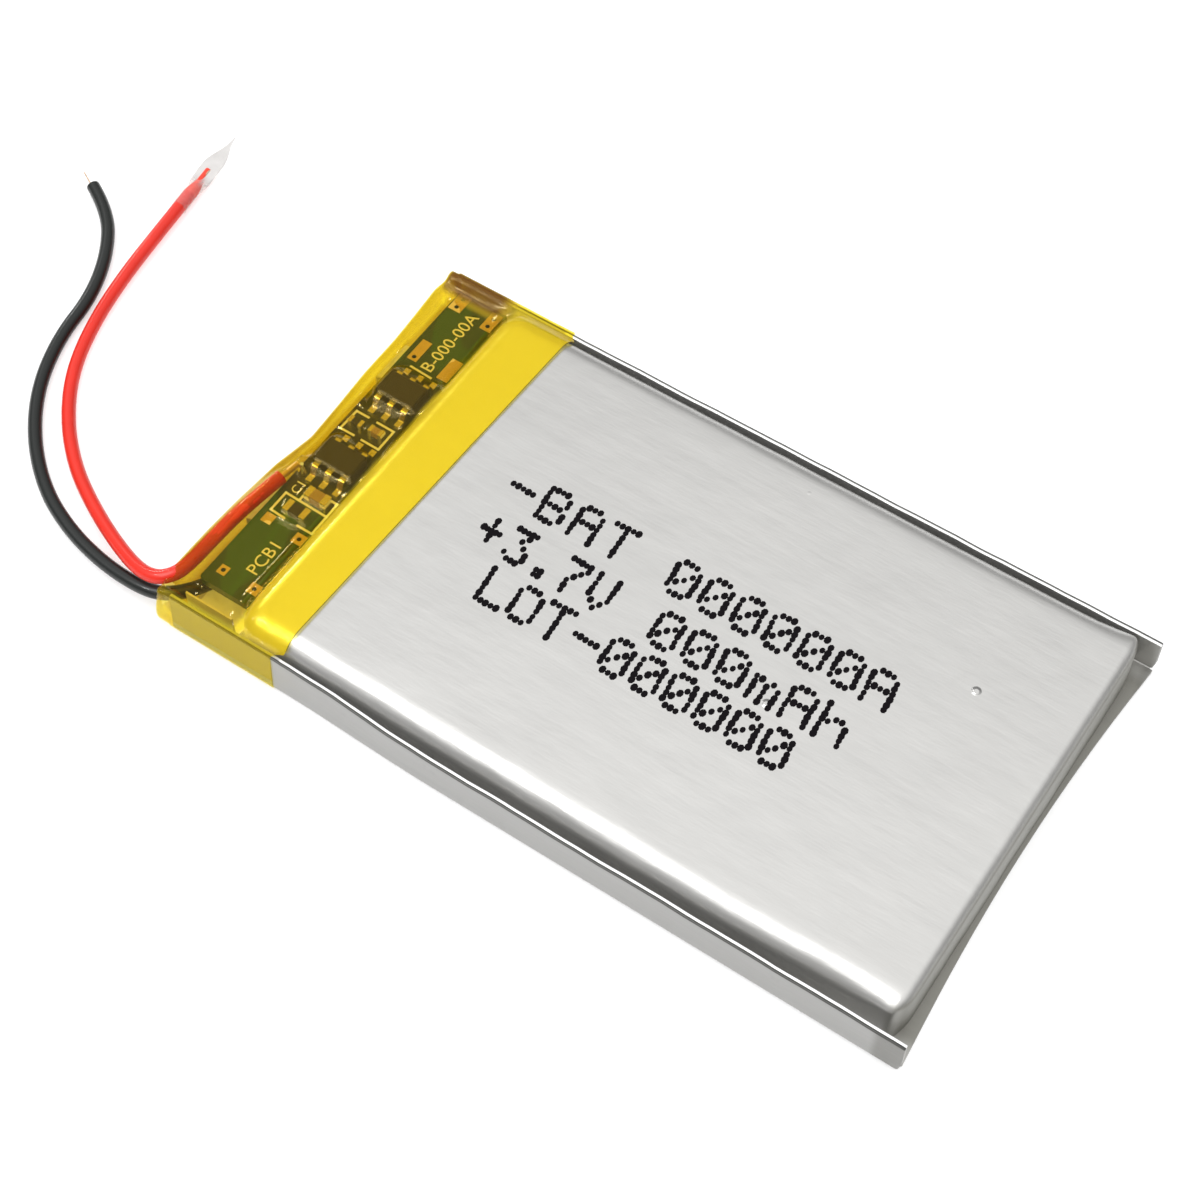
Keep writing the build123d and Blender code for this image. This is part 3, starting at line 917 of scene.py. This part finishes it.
class CELL_OT_marks(bpy.types.Operator):
    """Prints generic rating marks on the cup as rows of raised ink dots"""

    bl_idname = "cell.marks"
    bl_label = "Printed marks"

    def execute(self, context):
        pitch = settings("print_marks").pitch / MM
        clear_selection()
        bpy.ops.mesh.primitive_circle_add(vertices=DOT_SIDES, radius=DOT_RADIUS * MM)
        marks = bpy.context.object
        marks.name = "printed_marks"
        with editing(marks):
            bpy.ops.mesh.select_all(action="SELECT")
            bpy.ops.mesh.delete(type="VERT")
            for x, y, radius in dot_places(pitch):
                bpy.ops.mesh.primitive_circle_add(
                    vertices=DOT_SIDES,
                    radius=radius * MM,
                    fill_type="NGON",
                    location=(x * MM, y * MM, (cup_height(x, y) + INK_LIFT) * MM),
                )
                bpy.ops.transform.resize(value=(0.92, 1.15, 1), orient_type="GLOBAL")
            bpy.ops.mesh.select_all(action="SELECT")
            bpy.ops.mesh.extrude_region_move(
                TRANSFORM_OT_translate={"value": (0, 0, -0.02 * MM)}
            )
            bpy.ops.mesh.select_all(action="SELECT")
            bpy.ops.mesh.normals_make_consistent(inside=False)
        dress(marks, ink_finish())
        fit(marks, "cell", "laminate")
        return {"FINISHED"}


# ---- Board ----


def legend_line(start, end, width):
    """A printed line between two points in millimetres."""
    (x0, y0), (x1, y1) = start, end
    length = math.hypot(x1 - x0, y1 - y0) + width
    clear_selection()
    bpy.ops.mesh.primitive_cube_add(
        size=1,
        location=((x0 + x1) / 2 * MM, (y0 + y1) / 2 * MM, (BOARD_TOP + INK_LIFT) * MM),
        rotation=(0, 0, math.atan2(y1 - y0, x1 - x0)),
    )
    line = bpy.context.object
    line.scale = (length * MM, width * MM, 0.02 * MM)
    settle(line)
    return line


def legend_text(text, x, y, size):
    """Printed letters that run across the board, from a point in millimetres."""
    clear_selection()
    bpy.ops.object.text_add()
    letters = bpy.context.object
    letters.data.body = text
    letters.data.size = size * MM
    letters.data.extrude = 0.01 * MM
    letters.data.resolution_u = 3
    only(letters)
    bpy.ops.object.convert(target="MESH")
    letters = bpy.context.object
    place = Matrix.Translation((x * MM, y * MM, (BOARD_TOP + INK_LIFT) * MM))
    letters.data.transform(place @ Matrix.Rotation(math.radians(90), 4, "Z"))
    return letters


# runs of points that the printed lines on the board join, in millimetres
LEGEND = [
    [(-22.55, 2.62), (-23.45, 2.62), (-23.50, 1.02), (-22.5, 1.02)],
    [(-21.85, 2.60), (-20.60, 2.58), (-20.58, 0.98), (-21.85, 1.00)],
    [(-22.25, -3.62), (-20.15, -3.68), (-20.12, -6.22), (-21.2, -6.22)],
    [(-22.2, -6.22), (-23.25, -6.15), (-23.25, -4.68), (-20.12, -4.76)],
    [(-22.25, -3.62), (-22.25, -4.66)],
    [(-22.75, 7.30), (-21.20, 7.22)],
]
# text, x and y of its start, letter height
LABELS = [
    ("B-000-00A", -21.45, 7.50, 1.22),
    ("PCB1", -21.00, -10.45, 1.18),
    ("C1", -22.60, -4.45, 0.85),
    ("01", -21.62, -5.75, 0.42),
]


class CELL_OT_board(bpy.types.Operator):
    """Finishes the protection board and its parts, and prints its generic legend"""

    bl_idname = "cell.board"
    bl_label = "Protection board"

    def execute(self, context):
        board = settings("board")
        width = board.legend_width / MM
        lines = [
            legend_line(a, b, width) for run in LEGEND for a, b in zip(run, run[1:])
        ]
        letters = [legend_text(*label) for label in LABELS]
        legend = join(lines + letters, "board_legend")
        dress(legend, plain_finish("legend_ink", (1.0, 0.98, 0.95), 0.5, depth=0.002, spread=0.04))
        fit(legend, "cell", "board")

        gold = plain_finish("pad_gold", board.gold, 0.34, 0.85, 0.5)
        tin = plain_finish("tin", (0.88, 0.82, 0.72), 0.2, 0.95, 0.3)
        chip = plain_finish("chip_epoxy", (0.022, 0.017, 0.012), 0.42, grain_size=0.15, depth=0.01)
        dress_nodes({
            "circuit_board": board_finish(),
            "board_pads": gold,
            "protection_ic_body": chip,
            "mosfet_body": chip,
            "protection_ic_leads": tin,
            "mosfet_leads": tin,
            "chip_end_caps": tin,
            "resistors": plain_finish("resistor_glaze", (0.025, 0.024, 0.026), 0.3, depth=0.006),
            "capacitors": plain_finish("capacitor_body", (0.42, 0.28, 0.15), 0.5),
            "red_solder_joint": plain_finish("solder", (0.80, 0.80, 0.78), 0.16, 1.0, 0.3),
            "black_solder_joint": plain_finish("solder_under", (0.80, 0.80, 0.78), 0.2, 1.0, 0.3),
            "terrace_paper": plain_finish(
                "barley_paper", (0.88, 0.84, 0.66), 0.7, grain_size=0.2, depth=0.01
            ),
            "foam_pad": plain_finish(
                "foam", (0.80, 0.80, 0.77), 0.85, grain_size=0.25, depth=0.05
            ),
        })
        return {"FINISHED"}


class CELL_OT_winding(bpy.types.Operator):
    """Finishes the wound electrodes, their tabs and the seals round the tabs"""

    bl_idname = "cell.winding"
    bl_label = "Winding and tabs"

    def execute(self, context):
        separator = coil_finish("separator_film", (0.86, 0.86, 0.84), 0.0)
        nickel = coil_finish("nickel_strip", (0.72, 0.69, 0.64), 1.0)
        sealant = plain_finish("seal_film", (0.05, 0.05, 0.05), 0.4)
        dress_nodes({
            "cathode_winding": coil_finish("cathode_coating", (0.035, 0.035, 0.04), 0.1),
            "anode_winding": coil_finish("graphite_coating", (0.06, 0.06, 0.065), 0.25),
            "separator_inner": separator,
            "separator_outer": separator,
            "winding_tape": plain_finish("green_tape", (0.06, 0.32, 0.14), 0.25, grain_size=3.0),
            "positive_tab": coil_finish("aluminium_tab", (0.88, 0.88, 0.89), 1.0),
            "negative_tab": nickel,
            "positive_nickel_strip": nickel,
            "negative_nickel_strip": nickel,
            "positive_tab_sealant": sealant,
            "negative_tab_sealant": sealant,
        })
        return {"FINISHED"}


# ---- Leads ----


def route_curve(name, route, radius):
    """A round lead that follows a route's points smoothly."""
    clear_selection()
    curve = bpy.data.curves.new(name, "CURVE")
    curve.dimensions = "3D"
    spline = curve.splines.new("NURBS")
    spline.points.add(len(route) - 1)
    for point, place in zip(spline.points, route):
        point.co = (*(c * MM for c in place), 1)
    spline.order_u = 3
    spline.use_endpoint_u = True
    spline.resolution_u = 12
    curve.bevel_depth = radius * MM
    curve.bevel_resolution = 8
    curve.use_fill_caps = True
    piece = bpy.data.objects.new(name, curve)
    bpy.context.collection.objects.link(piece)
    return piece


def end_place(route):
    """Turns the Z axis along a route's last run and moves the origin to its end."""
    end = Vector(route[-1])
    along = (end - Vector(route[-2])).normalized()
    side = along.cross(Vector((0, 0, 1))).normalized()
    turn = Matrix((side, along.cross(side), along)).transposed()
    return Matrix.Translation(end * MM) @ turn.to_4x4()


class CELL_OT_leads(bpy.types.Operator):
    """Lays the red and the black lead along their routes"""

    bl_idname = "cell.leads"
    bl_label = "Leads"

    def execute(self, context):
        leads = settings("leads")
        radius = leads.diameter / MM / 2
        copper = plain_finish("tinned_copper", (0.86, 0.62, 0.44), 0.3, 1.0, 0.1)
        for colour, route, exit_at, length in (
            ("red", RED_ROUTE, 4, 45.0),
            ("black", BLACK_ROUTE, 3, 41.8),
        ):
            lead = route_curve(f"{colour}_insulation", route, radius)
            dress(lead, insulation_finish(f"{colour}_insulation", getattr(leads, colour)))
            fit(lead, "cell", f"{colour}_insulation", f"{colour}_lead")
            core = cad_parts[f"{colour}_lead_core"]
            dress(core, copper)
        self.stretched_end(bpy.data.materials["red_insulation"], radius)
        return {"FINISHED"}

    def stretched_end(self, material, radius):
        """The red insulation's end, drawn out over the bare strands when it was stripped."""
        clear_selection()
        bpy.ops.mesh.primitive_cylinder_add(vertices=24, radius=radius * MM, depth=2.5 * MM)
        piece = bpy.context.object
        piece.name = "red_insulation_end"
        piece.data.transform(Matrix.Translation((0, 0, 1.2 * MM)))
        slice_along(piece, "Z", steps(-0.05, 2.45, 10))

        def taper(x, y, z):
            width = 1 - 0.54 * step(z, 0.0, 1.9)
            return x * width + 0.03 * math.sin(2.2 * z), y * width, z

        reshape(piece, taper)
        piece.data.transform(end_place(RED_ROUTE))
        dress(piece, material)
        smooth(piece, 50)
        fit(piece, "cell", "red_insulation")


# ---- Head film ----

# the film is made as a straight box and then drawn in to its real outline
GRID = 0.2
FILM_HEAD_X = -25.34
FILM_TAIL_X = -15.0
FILM_Y = 14.6
FILM_BOX_TOP = 4
FILM_CLEAR = 0.07  # from what holds the film up to its middle surface
FILM_BOTTOM = 0.035
HEAD_FOLD_X = -23.95
CUP_FOLD_X = -17.5
# x and y spans and top of each small thing on the board that holds the film up
SMALL_PARTS = [
    (-22.6, -20.9, -5.95, -5.05, 2.98),
    (-22.05, -20.35, -4.6, -3.7, 3.22),
    (-23.4, -22.3, 1.5, 2.1, 2.88),
    (-21.85, -20.75, 1.5, 2.1, 3.02),
    (-23.8, -23.0, -3.3, -2.4, 3.2),
    (-23.6, -20.1, -13.85, -13.25, 2.72),
]
# y, and how far the head end reaches at its top there
HEAD_END = [
    (-14.5, -24.9), (-13.4, -25.30), (-12.2, -25.36), (-9.5, -25.34), (-6.8, -25.22),
    (-3.5, -24.98), (-0.6, -24.45), (2.3, -24.6), (5.2, -24.78), (8.2, -24.8),
    (10.7, -24.95), (13.1, -25.15), (14.5, -24.9),
]
MOUTHS = (Vector((-25.3, -13.1, 2.27)), Vector((-25.3, -13.72, 1.16)))


def film_support(xs, ys):
    """Height of what lies under the film at each grid point."""
    chips = [
        (low(n, "X"), high(n, "X"), low(n, "Y"), high(n, "Y"), high(n, "Z"))
        for n in ("protection_ic_body", "mosfet_body", "circuit_board")
    ]
    support = np.zeros((len(xs), len(ys)))
    for i, x in enumerate(xs):
        for j, y in enumerate(ys):
            height = SEAL_TOP if abs(y) > 14.15 else 0.5
            for x0, x1, y0, y1, top in chips + SMALL_PARTS:
                if x0 - 0.1 <= x <= x1 + 0.1 and y0 - 0.1 <= y <= y1 + 0.1:
                    height = max(height, top)
            for chip_y in CHIP_Y:
                if abs(x - CHIP_X) < 1.35 and abs(abs(y - chip_y) - 1.2) < 0.35:
                    height = max(height, 3.28 - 0.5 * max(0, abs(y - chip_y) - 1.25))
            edge_x = CUP_HEAD_X + round_off(CUP_CORNER, abs(y) - CUP_HALF_WIDTH + CUP_CORNER)
            inside = min(x - edge_x, CUP_HALF_WIDTH - abs(y))
            if inside > 0:
                height = max(height, CUP_TOP - round_off(CUP_SHOULDER, CUP_SHOULDER - inside))
            support[i, j] = height
    for a, b in zip(RED_ROUTE[:6], RED_ROUTE[1:7]):
        for k in range(11):
            cx, cy, cz = (p + (q - p) * k / 10 for p, q in zip(a, b))
            for i, x in enumerate(xs):
                if abs(x - cx) < 0.45:
                    for j, y in enumerate(ys):
                        reach = math.hypot(x - cx, y - cy)
                        if reach < 0.45:
                            top = cz + math.sqrt(0.45**2 - reach**2)
                            support[i, j] = max(support[i, j], top)
    return support


def face_x(y, share):
    """The head end of the film, drawn in at its middle and leaning in towards its top."""
    top = np.interp(y, *zip(*HEAD_END))
    foot = -25.30 + 0.08 * math.sin(0.8 * y)
    return foot + (top - foot) * step(share, 0.2, 1.0)


# creases pressed up in the film: start, end, height and width, in millimetres
CREASES = [
    ((-22.9, -12.4), (-20.6, -13.9), 0.16, 0.22),
    ((-23.6, -11.4), (-22.6, -13.4), 0.18, 0.25),
    ((-21.3, -12.4), (-18.9, -14.2), 0.14, 0.20),
    ((-24.0, -10.6), (-23.6, -7.0), 0.12, 0.20),
    ((-20.3, -7.2), (-20.5, -11.8), 0.10, 0.18),
    ((-18.7, -12.3), (-17.2, -13.6), 0.08, 0.20),
    ((-24.2, 8.4), (-22.2, 6.6), 0.16, 0.30),
    ((-24.6, 10.5), (-23.9, 7.4), 0.10, 0.25),
    ((-20.2, 0.8), (-20.0, -4.5), 0.07, 0.18),
    ((-21.7, 0.7), (-20.6, 0.2), 0.08, 0.15),
    ((-20.4, 13.2), (-19.2, 12.4), 0.10, 0.25),
]


def segment_distance(x, y, a, b):
    """From a point to the run between two others."""
    run = (b[0] - a[0], b[1] - a[1])
    share = ((x - a[0]) * run[0] + (y - a[1]) * run[1]) / (run[0] ** 2 + run[1] ** 2)
    share = min(1.0, max(0.0, share))
    return math.hypot(x - a[0] - share * run[0], y - a[1] - share * run[1])


def drape(xs, ys):
    """The film's height over the head: a taut skin that sinks between what holds it up."""
    support = film_support(xs, ys) + FILM_CLEAR
    skin = np.full_like(support, 4.02)
    rim = SEAL_TOP + FILM_CLEAR
    for _ in range(420):
        skin[:, 0] = rim
        skin[:, -1] = rim
        skin[0, :] = 2.75
        skin[-1, :] = np.maximum(support[-1, :], rim)
        inner = (skin[:-2, 1:-1] + skin[2:, 1:-1] + skin[1:-1, :-2] + skin[1:-1, 2:]) / 4
        skin[1:-1, 1:-1] = inner - 0.010
        skin = np.maximum(skin, support)
    for i, x in enumerate(xs):
        for j, y in enumerate(ys):
            for a, b, height, width in CREASES:
                skin[i, j] += height * hill(segment_distance(x, y, a, b), width)
            skin[i, j] += 0.018 * ripple(2.1 * x, 1.9 * y, 4.0)
    return skin


class CELL_OT_film(bpy.types.Operator):
    """Wraps the amber adhesive film round the head, sunk over the board and creased"""

    bl_idname = "cell.film"
    bl_label = "Head film"

    def execute(self, context):
        columns = round((FILM_TAIL_X - FILM_HEAD_X) / GRID)
        rows = round(2 * FILM_Y / GRID)
        xs = [FILM_HEAD_X, *steps(FILM_HEAD_X, FILM_TAIL_X, columns), FILM_TAIL_X]
        ys = [-FILM_Y, *steps(-FILM_Y, FILM_Y, rows), FILM_Y]
        skin = drape(xs, ys)
        piece = block("head_film", (FILM_HEAD_X, -FILM_Y, 0), (FILM_TAIL_X, FILM_Y, FILM_BOX_TOP))
        remove_faces(piece, lambda c, n: n.x > 0.5)
        slice_along(piece, "X", xs[1:-1])
        slice_along(piece, "Y", ys[1:-1])
        slice_along(piece, "Z", steps(0, FILM_BOX_TOP, 12))

        def shape(x, y, z):
            i = round((x - FILM_HEAD_X) / (FILM_TAIL_X - FILM_HEAD_X) * columns)
            j = round((y + FILM_Y) / (2 * FILM_Y) * rows)
            share = z / FILM_BOX_TOP
            height = skin[min(columns, max(0, i)), min(rows, max(0, j))]
            at_side = abs(y) > FILM_Y - 0.01
            at_head = x < FILM_HEAD_X + 0.01
            if at_side or at_head:
                z = FILM_BOTTOM + share * (height - FILM_BOTTOM)
            elif share < 0.01:
                z = FILM_BOTTOM
            elif share > 0.5:
                z = height
            lean = SEAL_LEAN * min(1.0, z / SEAL_TOP)
            outside = HALF_WIDTH + 0.035 - lean - round_off(SEAL_BEND, SEAL_BEND - z)
            y *= outside / FILM_Y
            if x < HEAD_FOLD_X:
                drawn = (face_x(y, share) - HEAD_FOLD_X) / (FILM_HEAD_X - HEAD_FOLD_X)
                x = HEAD_FOLD_X + (x - HEAD_FOLD_X) * drawn
            if x > CUP_FOLD_X:
                edge = TAPE_EDGE_X + 0.52 + 0.03 * y
                edge -= (0.6 if y < 0 else 0.45) * step(abs(y), 14.0, 14.5)
                drawn = (edge - CUP_FOLD_X) / (FILM_TAIL_X - CUP_FOLD_X)
                x = CUP_FOLD_X + (x - CUP_FOLD_X) * drawn
            return x, y, z

        reshape(piece, shape)
        # the leads come out through a mouth in the head end
        remove_faces(
            piece, lambda c, n: c.x < -24.6 and min((c - m).length for m in MOUTHS) < 0.62
        )
        soften_corners(piece)
        thicken(piece, settings("film").thickness, 0.0)
        dress(piece, film_finish())
        smooth(piece, 60)
        fit(piece, "cell", "amber_film", "head_tape")
        return {"FINISHED"}


def soften_corners(piece):
    """Rounds the folds at the film's head end by relaxing its vertices."""
    deselect_mesh(piece, "VERT")
    for vertex in piece.data.vertices:
        vertex.select = vertex.co.x / MM < -24.3
    with editing(piece):
        bpy.ops.mesh.vertices_smooth(factor=0.5, repeat=3)


# ---- Tip cover ----

SLEEVE_RADIUS = 0.56  # round the insulation
SLEEVE_GRIP = 1.3  # length over the insulation


class CELL_OT_cover(bpy.types.Operator):
    """Makes the folded milky film cover on the red lead's bare end"""

    bl_idname = "cell.cover"
    bl_label = "Tip cover"

    def execute(self, context):
        cover = settings("cover")
        reach, half = cover.length / MM, cover.half_width / MM
        clear_selection()
        bpy.ops.mesh.primitive_cylinder_add(
            vertices=28,
            radius=SLEEVE_RADIUS * MM,
            depth=(reach + SLEEVE_GRIP) * MM,
            end_fill_type="NOTHING",
        )
        piece = bpy.context.object
        piece.name = "tip_cover_film"
        piece.data.transform(Matrix.Translation((0, 0, (reach - SLEEVE_GRIP) / 2 * MM)))
        slice_along(piece, "Z", steps(-SLEEVE_GRIP, reach, 30))

        def flatten(x, y, z):
            flat = step(z, 0.1, 2.2)
            taper = 1 - step(z, reach - 2.9, reach) * 0.93
            wide = 1 + (half / SLEEVE_RADIUS - 1) * step(z, 0.2, 1.5)
            thick = 1 + (0.07 / SLEEVE_RADIUS - 1) * flat
            lift = 0.05 * math.sin(1.7 * z) * flat
            return x * wide * taper, y * thick * (0.4 + 0.6 * taper) + lift, z

        reshape(piece, flatten)
        thicken(piece, 0.06 * MM, -1.0)
        piece.data.transform(end_place(RED_ROUTE))
        piece.data.update()
        with editing(piece):
            bpy.ops.mesh.select_all(action="SELECT")
            bpy.ops.mesh.normals_make_consistent(inside=False)
        dress(piece, cover_finish())
        smooth(piece, 50)
        fit(piece, "cover", "clear_film", "tip_cover")
        return {"FINISHED"}


# ---- Stage ----


FLOOR_SIZE = 24
FLOOR_DROP = 0.00003  # below the cell's underside
# name, place and size in metres, power in watts
LAMPS = [
    ("glint_near", (-0.19, -0.15, 0.24), (0.03, 0.03), 0.13),
    ("glint_head", (-0.30, 0.12, 0.15), (0.03, 0.03), 0.10),
    ("key", (-0.11, -0.15, 0.31), (0.26, 0.18), 0.6),
]


def softbox(name, place, size, watts):
    """A soft lamp that faces the cell."""
    lamp = bpy.data.lights.new(name, "AREA")
    lamp.shape = "RECTANGLE"
    lamp.size, lamp.size_y = size
    lamp.energy = watts
    lamp.use_shadow = False
    holder = bpy.data.objects.new(name, lamp)
    holder.location = place
    holder.rotation_euler = (-Vector(place)).to_track_quat("-Z", "Y").to_euler()
    bpy.context.collection.objects.link(holder)


# sine of the height above the horizon, and how bright the studio is there
SKY = [
    (0.0, 0.13), (0.12, 0.15), (0.34, 0.27), (0.57, 0.48), (0.77, 0.70), (0.91, 0.92), (1.0, 0.95),
]


def studio_sky():
    """A studio that is bright overhead and dim round the horizon."""
    world = bpy.data.worlds.new("studio")
    sky = Nodes(world)
    height = sky.node("SeparateXYZ", None, {0: sky.node("TexCoord", output="Generated")}, "Z")
    stops = [(place, (value, value, value)) for place, value in SKY]
    light = sky.node("ValToRGB", {"stops": stops}, {"Fac": height})
    background = sky.node("Background", None, {"Color": light, "Strength": 1.6})
    sky.node("OutputWorld", None, {"Surface": background})
    return world


class CELL_OT_stage(bpy.types.Operator):
    """Sets the camera, the pale floor and the soft studio light"""

    bl_idname = "cell.stage"
    bl_label = "Stage"

    def execute(self, context):
        stage = settings("stage")
        az, el = stage.azimuth, stage.elevation
        back = Vector((math.sin(az) * math.cos(el), -math.cos(az) * math.cos(el), math.sin(el)))
        right = Vector((0, 0, 1)).cross(back).normalized()
        up = back.cross(right)
        turned_right = right * math.cos(stage.roll) + up * math.sin(stage.roll)
        turned_up = up * math.cos(stage.roll) - right * math.sin(stage.roll)
        camera = bpy.data.objects.new("camera", bpy.data.cameras.new("camera"))
        bpy.context.collection.objects.link(camera)
        axes = Matrix((turned_right, turned_up, back)).transposed()
        place = Vector(stage.target) + back * stage.distance
        camera.matrix_world = Matrix.Translation(place) @ axes.to_4x4()
        camera.data.lens = stage.lens
        camera.data.clip_start = 0.005
        camera.data.clip_end = 40
        context.scene.camera = camera

        clear_selection()
        bpy.ops.mesh.primitive_plane_add(size=FLOOR_SIZE, location=(0, 0, -FLOOR_DROP))
        floor = bpy.context.object
        floor.name = "floor"
        white = Finish("floor")
        dress(floor, white.done(white.principled(base_color=(0.93, 0.93, 0.93), roughness=0.7)))

        context.scene.world = studio_sky()
        for lamp in LAMPS:
            softbox(*lamp)
        context.scene.view_settings.view_transform = "Standard"
        return {"FINISHED"}


class CELL_PT_panel(bpy.types.Panel):
    """Lists the operators that build the cell"""

    bl_label = "Pouch Cell"
    bl_idname = "CELL_PT_panel"
    bl_space_type = "VIEW_3D"
    bl_region_type = "UI"
    bl_category = "Pouch Cell"

    def draw(self, context):
        for operator in OPERATORS:
            self.layout.operator(operator.bl_idname)
        for group, kind in SETTINGS.items():
            box = self.layout.box()
            for name in kind.__annotations__:
                box.prop(getattr(context.scene, "cell_" + group), name)


OPERATORS = (
    CELL_OT_stage,
    CELL_OT_leads,
    CELL_OT_pouch,
    CELL_OT_marks,
    CELL_OT_board,
    CELL_OT_winding,
    CELL_OT_film,
    CELL_OT_cover,
)


def register():
    for kind in (*SETTINGS.values(), *OPERATORS, CELL_PT_panel):
        bpy.utils.register_class(kind)
    for group, kind in SETTINGS.items():
        setattr(bpy.types.Scene, "cell_" + group, bpy.props.PointerProperty(type=kind))


def unregister():
    for group in SETTINGS:
        delattr(bpy.types.Scene, "cell_" + group)
    for kind in reversed((*SETTINGS.values(), *OPERATORS, CELL_PT_panel)):
        bpy.utils.unregister_class(kind)


def main():
    register()
    for operator in OPERATORS:
        name = operator.bl_idname.split(".")[1]
        getattr(bpy.ops.cell, name)()


if __name__ == "__main__":
    main()
